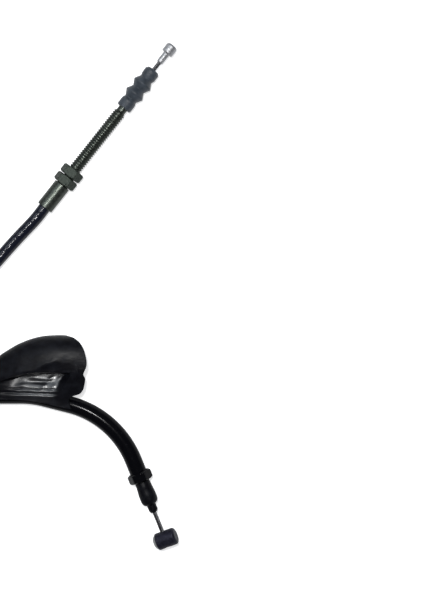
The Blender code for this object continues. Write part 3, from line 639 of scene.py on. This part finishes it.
def add_floor():
    """A plain pale floor that the camera and the reflections see as white, with its shadow."""
    form = bmesh.new()
    half = FLOOR_HALF
    corners = [(-half, -half), (half, -half), (half, half), (-half, half)]
    form.faces.new([form.verts.new((x, y, -FLOOR_DROP)) for x, y in corners])
    floor = object_from(form, "floor")
    matt = {"Roughness": 0.9, "Specular IOR Level": 0.1, "Emission Strength": 1.0}
    made, shader, start = new_material("floor", fixed=matt)
    shader.inputs["Base Color"].default_value = (*FLOOR_COLOUR, 1.0)
    glossy = start.make("LightPath", output="Is Glossy Ray")
    through = start.make("LightPath", output="Is Transmission Ray")
    mirrored = (glossy + through).between((0.0, 0.0, 0.0), FLOOR_MIRRORED)
    seen = start.make("LightPath", output="Is Camera Ray").between(mirrored, FLOOR_GLOW)
    start.feed(shader.inputs["Emission Color"], seen)
    floor.data.materials.append(made)


# Cord


COIL_STEP = math.radians(15)
LAYER_RAMPS = ((4.6, 5.8), (10.9, 12.1))  # between layers, in radians before the coil's end
ROUTE_SPACING = 0.0020


def cord_route():
    """The casing's middle line, from inside the barrel, round the coil, to inside the pipe."""
    heading = Vector((-math.cos(STRAND_ANGLE), -math.sin(STRAND_ANGLE), 0.0))
    right = Vector((heading.y, -heading.x, 0.0))
    out = Vector((math.cos(ENGINE_ANGLE), math.sin(ENGINE_ANGLE), 0.0))
    mouth = on_sheet(*ENGINE_BASE, ENGINE_Z)
    passing = on_sheet(*STRAND_POINT)
    strand_y = on_sheet(0.0, STRAND_Y).y
    centre_y = strand_y - COIL_RADIUS
    centre_x = passing.x + (COIL_RADIUS - right.y * (centre_y - passing.y)) / right.x
    centre = Vector((centre_x, centre_y, 0.0))
    touch = centre - right * COIL_RADIUS
    crossing = passing + heading * ((passing.y - strand_y) / -heading.y)
    rise = 2 * CASING_R + SEAT_GAP
    over = CABLE_Z + rise
    top = CASING_R + (COIL_LAYERS - 1) * rise
    clear = math.sqrt((COIL_RADIUS + CASING_R + SEAT_GAP) ** 2 - (COIL_RADIUS - CASING_R) ** 2)
    landed = 1 - clear / (touch - crossing).length
    end = touch - heading * clear

    def lifted(place, z):
        return Vector((place.x, place.y, z))

    engine = [
        mouth + out * JACKET_DEPTH,
        mouth,
        mouth - out * STRAIGHT_RUN,
        lifted(passing, ENGINE_Z),
        lifted(passing + heading * LIFT_START, ENGINE_Z + LIFT_START_RISE),
        lifted(crossing - heading * RAMP_BEFORE, over - RAMP_SAG),
        lifted(crossing - heading * CROSSING_HALF[0], over),
        lifted(crossing + heading * CROSSING_HALF[1], over + SEAT_GAP),
        lifted(crossing.lerp(touch, 0.5 * landed), 0.5 * (over + top) - SETTLE),
        lifted(end, top - SETTLE),
    ]
    first = math.atan2(-right.y, -right.x)
    total = math.tau * (COIL_LAYERS - 1) + (first % math.tau) - math.pi / 2
    steps = round(total / COIL_STEP)
    turns = []
    for k in range(steps + 1):
        share = total * k / steps
        angle = first - share
        left = total - share
        layer = sum(smoothstep(low, high, left) for low, high in LAYER_RAMPS)
        place = centre + Vector((math.cos(angle), math.sin(angle), 0.0)) * COIL_RADIUS
        turns.append(lifted(place, CASING_R + rise * layer))
    start_x = centre.x + clear
    neck = on_sheet(NECK_END_X, 0.0).x
    level = neck - BOOT_TRAVEL - LEVEL_RUN
    pipe_start = on_sheet(PIPE_START_X, 0.0).x
    lever = [
        Vector((start_x, strand_y, CASING_R)),
        Vector((start_x + LAND_RUN, strand_y, CASING_R + SETTLE)),
        Vector((level - LEVEL_RUN, strand_y, CABLE_Z - SETTLE / 2)),
        Vector((level, strand_y, CABLE_Z)),
        Vector((neck, strand_y, CABLE_Z)),
        Vector((pipe_start, strand_y, CABLE_Z)),
        Vector((pipe_start + PIPE_ENTRY, strand_y, CABLE_Z)),
    ]
    return engine, turns, lever, mouth


def add_casing():
    """The jacketed casing, one cord from the barrel to the guide pipe."""
    engine, turns, lever, mouth = cord_route()
    points = smooth_route(engine + turns + lever, ROUTE_SPACING)
    curve = bpy.data.curves.new("casing", "CURVE")
    curve.dimensions = "3D"
    curve.bevel_depth = CASING_R
    curve.bevel_resolution = 6
    curve.use_fill_caps = True
    spline = curve.splines.new("POLY")
    spline.points.add(len(points) - 1)
    for spot, point in zip(spline.points, points):
        spot.co = (*point, 1.0)
    spline.use_smooth = True
    casing = new_object("casing", curve)
    curve.materials.append(MATERIALS["jacket"])
    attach(casing, "cable")
    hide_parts("casing_engine_run", "casing_coil", "casing_lever_run")
    length = round(length_of(points), 3)


# Engine end


ENGINE = axis_matrix(ENGINE_BASE, ENGINE_ANGLE, ENGINE_Z)


SCREW_BORE_R = 0.00185
MOUTH_R = 0.0033  # bore that takes the casing
MOUTH_DEPTH = 0.0066
MOUTH_EDGE = (0.0001, 0.0004)  # chamfer of that bore, across and along
SEAT_R = 0.0030  # bore that takes the conduit
SEAT_SPAN = (0.0068, 0.0119)
THREAD_LEAD_IN = 0.0008
THREAD_NEAR = 0.0008  # points this near the thread's radius belong to it
BORE_MARGIN = 0.0003
THREAD_SPACING = THREAD_PITCH / 14
ADJUSTER_CORNERS = (0, 0.0001, 0.00035, 0.00035, 0.0002, 0.0002, 0.0003, 0.0002, 0.0002, 0.0003, 0)


def add_adjuster():
    """Barrel, thread, neck and head, with the thread cut as a real helix."""
    bore = SCREW_BORE_R
    outside = softened(
        [
            (MOUTH_R, MOUTH_EDGE[1]),
            (MOUTH_R + MOUTH_EDGE[0], 0.0),
            (BARREL_R, 0.0),
            (BARREL_R, BARREL_TOP),
            (THREAD_R, BARREL_TOP),
            (THREAD_R, THREAD_TOP - THREAD_LEAD_IN),
            (GROOVE_R, THREAD_TOP),
            (GROOVE_R, GROOVE_TOP),
            (HEAD_R, GROOVE_TOP),
            (HEAD_R, SCREW_TOP),
            (bore, SCREW_TOP),
        ],
        ADJUSTER_CORNERS,
    )
    outline = filled(outside, THREAD_SPACING)
    low, high = SEAT_SPAN
    outline += [(bore, high), (SEAT_R, high), (SEAT_R, low), (MOUTH_R, MOUTH_DEPTH)]

    def cut(angle, radius, height):
        if abs(radius - THREAD_R) > THREAD_NEAR or radius < bore + BORE_MARGIN:
            return 0.0
        run_in = smoothstep(*[BARREL_TOP + past for past in THREAD_RUN_IN], height)
        run_out = 1.0 - smoothstep(THREAD_TOP - THREAD_RUN_OUT, THREAD_TOP, height)
        turn = (height / THREAD_PITCH - angle / math.tau) % 1.0
        groove = smoothstep(THREAD_CREST, THREAD_CREST + THREAD_FLANKS, abs(2 * turn - 1))
        return -THREAD_DEPTH * groove * run_in * run_out

    form = bmesh.new()
    lathe(form, ENGINE, outline, 72, cut, hollow=True)
    piece_from(form, "adjuster", "olive_steel", "cable", ["adjuster_screw"], 75)


CHAMFER_FACE = 0.95  # flat face inside the chamfer, of the flats
CHAMFER_ANGLE = math.radians(30)
CHAMFER_REACH = 0.9
CHAMFER_DEPTHS = (0.0, 0.0001, 0.00025, 0.00045, 0.0007, 0.0010)
CORNER_WEAR = 0.00012
CORNER_WORN = (0.40, 0.5236)  # where it begins and is full, in radians from a flat's middle
COUNTERSINK = 0.0005


def hexagon(form, matrix, flats, thickness, bore, middle, steps=120):
    """A nut or collar: six flats, chamfers at both faces and a countersunk bore."""
    face = flats / 2 * CHAMFER_FACE
    slope = math.tan(CHAMFER_ANGLE)
    base = middle - thickness / 2
    rows = []
    lower = [(depth, depth) for depth in CHAMFER_DEPTHS]
    upper = [(thickness - depth, depth) for depth in reversed(CHAMFER_DEPTHS)]
    for height, depth in lower + upper:
        row = []
        for k in range(steps):
            angle = math.tau * k / steps
            sector = (angle + math.pi / 6) % (math.pi / 3) - math.pi / 6
            flat = flats / 2 / math.cos(sector)
            flat -= CORNER_WEAR * smoothstep(*CORNER_WORN, abs(sector))
            r = min(flat, face + depth / slope * CHAMFER_REACH)
            place = Vector((r * math.cos(angle), r * math.sin(angle), base + height))
            row.append(matrix @ place)
        rows.append(row)
    for radius, height in [
        (bore + COUNTERSINK, thickness),
        (bore, thickness - COUNTERSINK),
        (bore, COUNTERSINK),
        (bore + COUNTERSINK, 0.0),
    ]:
        turns = [math.tau * k / steps for k in range(steps)]
        ring = [Vector((radius * math.cos(a), radius * math.sin(a), base + height)) for a in turns]
        rows.append([matrix @ p for p in ring])
    add_rows(form, rows, hollow=True)


def add_nuts():
    """Two lock nuts, one on the other, against the barrel."""
    first = BARREL_TOP + SEAT_GAP + NUT_THICKNESS / 2
    second = first + NUT_THICKNESS + SEAT_GAP
    for name, middle in (("lower", first), ("upper", second)):
        form = bmesh.new()
        bore = THREAD_R + SEAT_GAP
        hexagon(form, ENGINE, NUT_FLATS, NUT_THICKNESS, bore, middle)
        node = f"lock_nut_{name}"
        piece_from(form, f"nut_{name}", "grey_steel", f"{name}_nut", [node], 25)


BELLOWS_WALL = 0.0008
FOLD_COUNT = 2
FOLD_CREST = (0.46, 0.54)  # start and end of a fold's crest, of its pitch
PEAK_R = 0.0048
VALLEY_R = 0.0032
PEAK_INNER_R = 0.0039
VALLEY_INNER_R = 0.0024
CAP_R = 0.00375
CAP_FACE_R = 0.0029
CAP_INNER_R = 0.0029
CAP_HOLE_R = 0.00130
CUP_INNER_R = 0.0030
LIP_R = 0.0027  # hole for the screw's head
BELLOWS_CORNER = 0.0002
BELLOWS_SPACING = 0.00025
BELLOWS_UNEVEN = 0.00012
BELLOWS_SKIN_R = 0.0020  # the uneven skin lies outside this radius


def add_bellows():
    """Cup, two soft folds and a rounded cap, all one thin wall."""
    outer = [
        (LIP_R, CUP_BASE),
        (0.0036, CUP_BASE),
        (0.0038, CUP_BASE + 0.0006),
        (0.00378, CUP_BASE + 0.0042),
        (0.0034, CUP_BASE + 0.0050),
    ]
    for k in range(FOLD_COUNT):
        outer.append((VALLEY_R, FOLDS_BASE + k * FOLD_PITCH))
        outer += [(PEAK_R, FOLDS_BASE + (k + share) * FOLD_PITCH) for share in FOLD_CREST]
    outer += [
        (VALLEY_R, FOLDS_BASE + FOLD_COUNT * FOLD_PITCH),
        (CAP_R, BELLOWS_TOP - 0.0040),
        (CAP_R, BELLOWS_TOP - 0.0012),
        (CAP_FACE_R, BELLOWS_TOP),
        (CAP_HOLE_R, BELLOWS_TOP),
    ]
    inner = [
        (CAP_HOLE_R, BELLOWS_TOP - BELLOWS_WALL),
        (0.0026, BELLOWS_TOP - BELLOWS_WALL),
        (CAP_INNER_R, BELLOWS_TOP - 0.0016),
        (CAP_INNER_R, BELLOWS_TOP - 0.0038),
    ]
    for k in reversed(range(FOLD_COUNT + 1)):
        base = FOLDS_BASE + k * FOLD_PITCH
        inner.append((VALLEY_INNER_R, base))
        if k:
            inner.append((PEAK_INNER_R, base - FOLD_PITCH / 2))
    inner += [
        (CUP_INNER_R, CUP_BASE + 0.0040),
        (CUP_INNER_R, CUP_BASE + BELLOWS_WALL),
        (LIP_R, CUP_BASE + BELLOWS_WALL),
    ]
    outline = filled(softened(outer, BELLOWS_CORNER), BELLOWS_SPACING) + inner

    def uneven(angle, radius, height):
        if radius < BELLOWS_SKIN_R:
            return 0.0
        place = Vector((math.cos(angle) * 1.2, math.sin(angle) * 1.2, height * 420))
        return BELLOWS_UNEVEN * (noise.noise(place) - 0.3)

    form = bmesh.new()
    lathe(form, ENGINE, outline, 64, uneven, hollow=True)
    boot = piece_from(form, "bellows", "slate_rubber", None, ["bellows_boot"], 0)
    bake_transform(boot)


ENGINE_WIRE = (0.0198, SHANK_BASE + 0.0037)  # start and end along the adjuster
LEVER_WIRE = (-0.0080, LEVER_NIPPLE_AT + 0.0012)  # start and end along the pipe's end


def add_wire(name, matrix, base, end, body, node):
    """A steel rope: a core with one layer of strands laid round it."""
    thin = WIRE_R * STRAND_SHARE
    core = WIRE_R - 2 * thin
    form = bmesh.new()
    lathe(form, matrix, [(core * CORE_SWELL, base), (core * CORE_SWELL, end)], 16)
    steps = max(8, round((end - base) / WIRE_SPACING))
    for strand in range(OUTER_STRANDS):
        points = []
        for k in range(steps + 1):
            z = base + (end - base) * k / steps
            angle = math.tau * (strand / OUTER_STRANDS + z / LAY_LENGTH)
            r = core + thin
            points.append(matrix @ Vector((r * math.cos(angle), r * math.sin(angle), z)))
        tube(form, points, thin * STRAND_SWELL, 8)
    piece_from(form, name, "wire_steel", body, [node], 60)


SHANK_R = 0.0016
SHANK_TIP_R = 0.0012
SHANK_TAPER = 0.0006
SHANK_FLARE = (0.0004, 0.0004)  # where the shank meets the head, across and along
NIPPLE_R = 0.00285
NIPPLE_CROWN = 0.0002
NIPPLE_CORNERS = (0, 0.0001, 0.0003, 0.0004, 0.0003, 0.0007, 0.0013, 0)
WIRE_HOLE_R = 0.00115
AXIS_R = 0.00002  # a lathe's outline stops this near its axis
CAST_ROUGH = 0.00004
CAST_SPACING = 0.0003


def add_engine_nipple():
    """Cast nipple: a slim shank that flares into a rounded head."""
    end = SHANK_LENGTH + NIPPLE_LENGTH
    outer = softened(
        [
            (WIRE_HOLE_R, 0.0),
            (SHANK_TIP_R, 0.0),
            (SHANK_R, SHANK_TAPER),
            (SHANK_R, SHANK_LENGTH - SHANK_FLARE[1]),
            (SHANK_R + SHANK_FLARE[0], SHANK_LENGTH),
            (NIPPLE_R, SHANK_LENGTH),
            (NIPPLE_R, end),
            (AXIS_R, end + NIPPLE_CROWN),
        ],
        NIPPLE_CORNERS,
        6,
    )
    outline = filled(outer, CAST_SPACING)
    form = bmesh.new()

    def cast(angle, radius, height):
        place = Vector((math.cos(angle), math.sin(angle), height * 700)) * 1.6
        return CAST_ROUGH * noise.noise(place) * min(1.0, radius / 0.001)

    lathe(form, ENGINE @ Matrix.Translation((0, 0, SHANK_BASE)), outline, 56, cast)
    piece_from(form, "nipple_engine", "bright_zinc", "engine_pull", ["engine_nipple"], 45)


# Lever end


PIPE_SPACING = 0.0015
BEND_STEP = math.radians(1.6)


def pipe_points():
    """The guide pipe's middle line and the angle that it ends at."""
    spot = on_sheet(PIPE_START_X, STRAND_Y)
    angle = 0.0
    points = [spot.copy()]
    for k, run in enumerate(PIPE_RUNS):
        heading = Vector((math.cos(angle), math.sin(angle), 0.0))
        steps = max(2, round(run / PIPE_SPACING))
        for _ in range(steps):
            spot = spot + heading * (run / steps)
            points.append(spot.copy())
        if k == len(PIPE_BENDS):
            break
        steps = max(6, round(PIPE_BENDS[k] / BEND_STEP))
        turn = PIPE_BENDS[k] / steps
        chord = 2 * PIPE_BEND_RADIUS * math.sin(turn / 2)
        for _ in range(steps):
            middle = angle - turn / 2
            spot = spot + Vector((math.cos(middle), math.sin(middle), 0.0)) * chord
            angle -= turn
            points.append(spot.copy())
    total = length_of(points)
    gone = 0.0
    for k, point in enumerate(points):
        if k:
            gone += (point.xy - points[k - 1].xy).length
        share = smoothstep(0.0, 1.0, gone / (total - PIPE_RUNS[-1]))
        point.z = CABLE_Z + (LEVER_Z - CABLE_Z) * share
    return points, angle


PIPE, LEVER_ANGLE = pipe_points()
COLLAR_AT = PIPE[-1] - Vector((math.cos(LEVER_ANGLE), math.sin(LEVER_ANGLE), 0)) * COLLAR_INSET
LEVER = axis_matrix(
    (COLLAR_AT.x + BASE_CENTRE[0], COLLAR_AT.y + BASE_CENTRE[1]), LEVER_ANGLE, LEVER_Z
)


def add_pipe():
    """The guide pipe and the collar on its end."""
    form = bmesh.new()
    tube(form, PIPE, PIPE_R, 48, PIPE_BORE_R)
    piece_from(form, "guide_pipe", "black_paint", "cable", ["elbow_pipe"], 40)
    form = bmesh.new()
    hexagon(form, LEVER, COLLAR_FLATS, COLLAR_THICKNESS, PIPE_R + SEAT_GAP, 0.0)
    piece_from(form, "collar", "black_paint", "cable", ["elbow_collar"], 25)


NOSE_BORE_R = 0.0033
NOSE_BORE_DEPTH = 0.0080
NOSE_TIP_BORE_R = 0.00115
NOSE_BULGE_R = 0.00415
NOSE_CORNERS = (0, 0, 0.0004, 0.002, 0.002, 0.0014, 0.001, 0.0004, 0.0005, 0.0008, 0.0003, 0)
NOSE_UNEVEN = 0.00010
NOSE_SPACING = 0.00035
NOSE_SKIN_R = 0.0022


def add_nose():
    """Rubber nose: a swelling body, a step and a small tip round the wire."""
    length = NOSE_STEP - NOSE_BASE
    outer = softened(
        [
            (NOSE_BORE_R, NOSE_BASE + 0.0002),
            (0.00335, NOSE_BASE),
            (0.00365, NOSE_BASE),
            (0.00385, NOSE_BASE + length * 0.30),
            (NOSE_BULGE_R, NOSE_BASE + length * 0.58),
            (NOSE_BULGE_R, NOSE_BASE + length * 0.80),
            (0.00360, NOSE_STEP - 0.0007),
            (0.00240, NOSE_STEP),
            (0.00225, NOSE_STEP + 0.0004),
            (0.00220, NOSE_TIP - 0.0010),
            (0.00150, NOSE_TIP),
            (0.00120, NOSE_TIP),
        ],
        NOSE_CORNERS,
        6,
    )
    outline = filled(outer, NOSE_SPACING)
    outline += [(NOSE_TIP_BORE_R, NOSE_STEP), (NOSE_BORE_R, NOSE_BASE + NOSE_BORE_DEPTH)]

    def uneven(angle, radius, height):
        if radius < NOSE_SKIN_R:
            return 0.0
        place = Vector((math.cos(angle), math.sin(angle), height * 300))
        return NOSE_UNEVEN * (noise.noise(place) - 0.5)

    form = bmesh.new()
    lathe(form, LEVER, outline, 56, uneven, hollow=True)
    piece_from(form, "nose", "rubber", "cable", ["nose_seal"], 60)


DARK_EDGE = 0.0008
DARK_CORNERS = (0, 0.0006, 0.0004, 0)
BARREL_SPACING = 0.0004
BARE_START = 0.0018  # bare end's length
BARE_STEP = (0.0002, 0.0014)  # across, and from the end
BARE_CORNERS = (0, 0.0003, 0.0007, 0)
BARE_DOME = 0.0017
BARE_FROM = 0.0017  # faces nearer to the end than this are bare
WIRE_HOLE_SPAN = (-0.0080, 0.0015)
SOLDER_CUP_R = 0.0019
SOLDER_CUP_DEPTH = 0.0012
SOLDER_CUP_ABOVE = 0.0020


def add_barrel_nipple():
    """The barrel: a turned body, dark, with one bare rounded end and the wire's hole."""
    half = LEVER_NIPPLE_HALF
    r = LEVER_NIPPLE_R
    body = softened(
        [(AXIS_R, -half), (r - DARK_EDGE, -half), (r, -half + DARK_EDGE), (r, half - BARE_START)],
        DARK_CORNERS,
        6,
    )
    bare = (r - BARE_STEP[0], half - BARE_STEP[1])
    tip = softened([(r, half - BARE_START), bare, (r - BARE_DOME, half), (AXIS_R, half)], BARE_CORNERS, 6)
    outline = filled(body, BARREL_SPACING) + filled(tip, BARREL_SPACING)[1:]
    across = Matrix.Rotation(LEVER_NIPPLE_ROLL, 4, "Z") @ Matrix.Rotation(-math.pi / 2, 4, "X")
    along = LEVER @ Matrix.Translation((0, 0, LEVER_NIPPLE_AT))
    matrix = along @ across
    form = bmesh.new()
    lathe(form, matrix, outline, 72)
    inverse = matrix.inverted()
    for face in form.faces:
        place = inverse @ face.calc_center_median()
        if place.z > half - BARE_FROM:
            face.material_index = 1
    node = "lever_barrel_nipple"
    piece = piece_from(form, "nipple_lever", "dark_zinc", "lever_pull", [node], 35, [BARE_ZINC])
    for name, radius, low, high in (
        ("wire_hole", WIRE_R + CAST_GAP, *WIRE_HOLE_SPAN),
        ("solder_cup", SOLDER_CUP_R, r - SOLDER_CUP_DEPTH, r + SOLDER_CUP_ABOVE),
    ):
        tool = bmesh.new()
        lathe(tool, along, [(radius, low), (radius, high)], 32)
        bmesh.ops.recalc_face_normals(tool, faces=tool.faces)
        cutter = object_from(tool, name)
        drill = piece.modifiers.new(name, "BOOLEAN")
        drill.operation = "DIFFERENCE"
        drill.solver = "EXACT"
        drill.object = cutter
        bake_modifiers(piece)
        bpy.data.objects.remove(cutter, do_unlink=True)


# Lever boot


BOOT_WALL = 0.0012
NECK_LENGTH = 0.0040
SLIT_START_X = -0.0060
HOOD_FULL_X = 0.0020
HOOD_OUTLINE = (  # far edge of the hood, x and y on the sheet
    (-0.0280, -0.1858),
    (-0.0130, -0.1777),
    (0.0000, -0.1703),
    (0.0092, -0.1649),
    (0.0184, -0.1617),
    (0.0276, -0.1608),
    (0.0320, -0.1609),
    (0.0430, -0.1609),
)
RIM_OUTLINE = (  # share of the way from far edge to lip, and x on the sheet
    (0.000, 0.0318),
    (0.019, 0.0350),
    (0.064, 0.0380),
    (0.138, 0.0404),
    (0.258, 0.0421),
    (0.368, 0.0427),
    (0.428, 0.0424),
    (0.498, 0.0413),
    (0.535, 0.0411),
    (0.579, 0.0418),
    (0.657, 0.0415),
    (0.745, 0.0404),
    (0.789, 0.0388),
    (0.824, 0.0353),
    (1.000, 0.0347),
)
LIP_LINE = (  # lip that lies over the pipe, x and y on the sheet
    (-0.0280, -0.1917),
    (0.0100, -0.1917),
    (0.0200, -0.1929),
    (0.0347, -0.1960),
    (0.0430, -0.1960),
)
RIDGE_LINE = (  # ridge along the top of the crown, x and y on the sheet
    (-0.0280, -0.1888),
    (0.0032, -0.1811),
    (0.0110, -0.1780),
    (0.0176, -0.1768),
    (0.0230, -0.1744),
    (0.0290, -0.1726),
    (0.0430, -0.1745),
)
CROWN_HEIGHT = (  # height of that ridge along x
    (-0.0280, 0.0092),
    (0.0000, 0.0122),
    (0.0120, 0.0146),
    (0.0220, 0.0158),
    (0.0340, 0.0154),
    (0.0430, 0.0142),
)
CROWN_POWER = 2.4
FAR_EDGE_HEIGHT = 0.0046
FAR_EDGE_SHARE = 0.44
FAR_EDGE_TUCK = 0.9
FOLD_LINE = (  # edge where the crown folds down into the hollow, x and y on the sheet
    (0.0000, -0.1824),
    (0.0085, -0.1799),
    (0.0136, -0.1786),
    (0.0184, -0.1780),
    (0.0330, -0.1781),
)
FOLD_DROP = 0.0014  # width of the fold's slope
HOLLOW_FLOOR = 0.0082  # height of the hollow's floor under the fold
HOLLOW_SLOPE = 0.24  # rise of that floor toward the pipe
HOLLOW_BLEND = 0.0005
HOLLOW_START_X = (-0.0060, 0.0110)
HOLLOW_END_X = (0.0318, 0.0368)
GROOVE_LINE = ((0.0000, -0.1878), (0.0260, -0.1888))  # groove between hollow and sleeve
GROOVE_DEPTH = 0.0005
GROOVE_WIDTH = 0.0007
LOWER_LIP_GAP = 0.0007  # between the pipe and the lip that lies on the floor
COLUMN_SPREAD = ((0.0, 0.0), (0.22, 0.08), (0.52, 0.46), (0.86, 0.82), (1.0, 1.0))
NECK_LIP_ANGLE = 120
NECK_FLOOR_ANGLE = -80
UPPER = 150
LOWER = 36
WRAP = 27
STATIONS = 170
SWELLINGS = (  # x, y, half length, half width, slant in degrees and height, in the hollow
    (0.0164, -0.1806, 0.0026, 0.0009, 3, 0.00026),
    (0.0252, -0.1812, 0.0021, 0.0008, 30, 0.00026),
    (0.0297, -0.1810, 0.0026, 0.0011, 42, 0.00022),
    (0.0296, -0.1831, 0.0015, 0.0008, 20, 0.00026),
    (0.0112, -0.1847, 0.0026, 0.0010, 10, 0.00028),
    (0.0214, -0.1853, 0.0018, 0.0009, 42, 0.00030),
    (0.0264, -0.1852, 0.0017, 0.0010, 30, 0.00030),
    (0.0092, -0.1872, 0.0018, 0.0007, -18, 0.00024),
    (0.0191, -0.1876, 0.0022, 0.0006, 10, 0.00022),
    (0.0256, -0.1874, 0.0026, 0.0006, 6, 0.00024),
    (0.0195, -0.1830, 0.0052, 0.0011, 0, -0.00055),
    (0.0270, -0.1762, 0.0060, 0.0020, 0, -0.00028),
)
CREASE = ((0.0061, -0.1861), (0.0266, -0.1864))  # fine groove across the hollow
# y and x on the sheet
CUFF_LINE = ((-0.1821, 0.0368), (-0.1799, 0.0381), (-0.1769, 0.0382), (-0.1740, 0.0378))
# Height, width, start and end of the lines on the hood
RIDGE_RISE = (0.00030, 0.0014, 0.003, 0.029)
CREASE_DROP = (0.00030, 0.0003, 0.006, 0.026)
CUFF_RISE = (0.00050, 0.0004, -0.1821, -0.1765)


def hood_height(x, y, far, lip):
    """Height of the hood's outer surface over a point of the sheet."""
    ridge = interpolate(RIDGE_LINE, x)
    crown = interpolate(CROWN_HEIGHT, x)
    sleeve = CABLE_Z + PIPE_R + SEAT_GAP + BOOT_WALL
    if y > ridge:
        t = min((y - ridge) / (far - ridge), 1.0)
        round_off = (1.0 - t**CROWN_POWER) ** (1 / CROWN_POWER)
        z = FAR_EDGE_HEIGHT + (crown - FAR_EDGE_HEIGHT) * round_off
    else:
        z = crown + (sleeve - crown) * smoothstep(ridge, lip, y)
    fold = interpolate(FOLD_LINE, x)
    leaned = x + HOLLOW_LEAN * (fold - y)
    along = smoothstep(*HOLLOW_START_X, x) * (1.0 - smoothstep(*HOLLOW_END_X, leaned))
    over = z - (HOLLOW_FLOOR + HOLLOW_SLOPE * (fold - y))
    over = (over + math.hypot(over, HOLLOW_BLEND)) / 2  # never below 0, without a sharp edge
    z -= over * along * smoothstep(fold, fold - FOLD_DROP, y)
    z -= GROOVE_DEPTH * along * bump(y, interpolate(GROOVE_LINE, x), GROOVE_WIDTH)
    return z


RISE_HALF = 0.0025
FALL_HALF = 0.0030


def within(x, start, end):
    """1 between two places, with a soft rise and fall."""
    rise = smoothstep(start - RISE_HALF, start + RISE_HALF, x)
    return rise * (1 - smoothstep(end - FALL_HALF, end + FALL_HALF, x))


def line_relief(across, along, line, relief):
    """Height of a soft line that runs between its two ends."""
    height, width, start, end = relief
    return height * bump(across, interpolate(line, along), width) * within(along, start, end)


def soft_relief(x, y):
    """The hood's creases, swellings and cuff line, too fine for the part's solid."""
    rise = 0.0
    for at_x, at_y, long, wide, slant, high in SWELLINGS:
        turn = math.radians(slant)
        along = (x - at_x) * math.cos(turn) + (y - at_y) * math.sin(turn)
        across = (y - at_y) * math.cos(turn) - (x - at_x) * math.sin(turn)
        rise += high * bump(along, 0.0, long) * bump(across, 0.0, wide)
    rise += line_relief(y, x, RIDGE_LINE, RIDGE_RISE)
    rise -= line_relief(y, x, CREASE, CREASE_DROP)
    rise += line_relief(x, y, CUFF_LINE, CUFF_RISE)
    return rise


def hood_point(share_x, column):
    """Outer surface of the hood, from the lip over the crown to the far edge and under."""
    v = interpolate(COLUMN_SPREAD, max(0.0, 1.0 - column / UPPER))
    rim = interpolate(RIM_OUTLINE, v)
    x = NECK_END_X + share_x * (rim - NECK_END_X)
    far = interpolate(HOOD_OUTLINE, x)
    if column > UPPER:
        return floor_point(x, far, (column - UPPER) / LOWER)
    lip = interpolate(LIP_LINE, x)
    y = far + v * (lip - far)
    return Vector((x, y, hood_height(x, y, far, lip) + soft_relief(x, y)))


def floor_point(x, far, share):
    """Underside of the hood: a rounded far edge, then flat on the floor."""
    lower_lip = STRAND_Y + PIPE_R + LOWER_LIP_GAP
    tuck = FAR_EDGE_HEIGHT * FAR_EDGE_TUCK
    if share <= FAR_EDGE_SHARE:
        t = math.pi / 2 * share / FAR_EDGE_SHARE
        return Vector((x, far - tuck * (1 - math.cos(t)), FAR_EDGE_HEIGHT * (1 - math.sin(t))))
    t = (share - FAR_EDGE_SHARE) / (1 - FAR_EDGE_SHARE)
    return Vector((x, far - tuck + t * (lower_lip - far + tuck), 0.0))


def neck_point(x, column):
    """Outer surface of the neck, a round sleeve on the casing."""
    radius = CASING_R + SEAT_GAP + BOOT_WALL
    if column <= UPPER:
        angle = NECK_LIP_ANGLE * (1 - column / UPPER)
    elif column <= UPPER + LOWER:
        angle = NECK_FLOOR_ANGLE * (column - UPPER) / LOWER
    else:
        wrap = (column - UPPER - LOWER) / (WRAP + 1)
        angle = NECK_FLOOR_ANGLE - (360 + NECK_FLOOR_ANGLE - NECK_LIP_ANGLE) * wrap
    angle = math.radians(angle)
    y = STRAND_Y + radius * math.cos(angle)
    return Vector((x, y, CABLE_Z + radius * math.sin(angle)))


def add_lever_boot():
    """The folded rubber hood, one moulded sleeve that is open along the cable."""
    around = UPPER + LOWER + 1 + WRAP
    form = bmesh.new()
    rows = []
    for k in range(STATIONS + 1):
        share = k / STATIONS
        row = []
        for column in range(around):
            wrapped = column > UPPER + LOWER
            hood = hood_point(share, min(column, UPPER + LOWER))
            blend = smoothstep(NECK_END_X + NECK_LENGTH, HOOD_FULL_X, hood.x)
            ring = neck_point(hood.x, column)
            place = ring if wrapped else ring.lerp(hood, blend)
            row.append(form.verts.new(place - Vector((*BASE_CENTRE, 0.0))))
        rows.append(row)
    for k in range(STATIONS):
        share = (k + 1) / STATIONS
        closed = NECK_END_X + share * (RIM_OUTLINE[0][1] - NECK_END_X) <= SLIT_START_X
        for column in range(around):
            if column >= UPPER + LOWER and not closed:
                continue
            n = (column + 1) % around
            form.faces.new((rows[k][column], rows[k][n], rows[k + 1][n], rows[k + 1][column]))
    loose = [vert for vert in form.verts if not vert.link_faces]
    bmesh.ops.delete(form, geom=loose, context="VERTS")
    piece = piece_from(form, "hood", "rubber", None, (), 0)
    wall = piece.modifiers.new("wall", "SOLIDIFY")
    wall.thickness = BOOT_WALL
    wall.offset = -1.0
    wall.use_even_offset = True
    bake_modifiers(piece)
    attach(piece, "boot")
    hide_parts("lever_boot")


def dress_inner_pieces():
    """The hidden pieces keep their solids and take the same materials."""
    slots = {part["node"]: part["material_slot"] for part in frame["record"]["subparts"]}
    for node in ("conduit_end", "liner_engine_end", "liner_lever_end", "outlet_bush"):
        piece = frame["nodes"][node]
        piece.data.materials.clear()
        piece.data.materials.append(MATERIALS[slots[node]])


add_camera()
add_casing()
add_floor()
add_light()
add_adjuster()
add_nuts()
add_bellows()
add_wire("rope_engine", ENGINE, *ENGINE_WIRE, "engine_pull", "engine_wire")
add_engine_nipple()
add_pipe()
add_nose()
add_wire("rope_lever", LEVER, *LEVER_WIRE, "lever_pull", "lever_wire")
add_barrel_nipple()
add_lever_boot()
dress_inner_pieces()
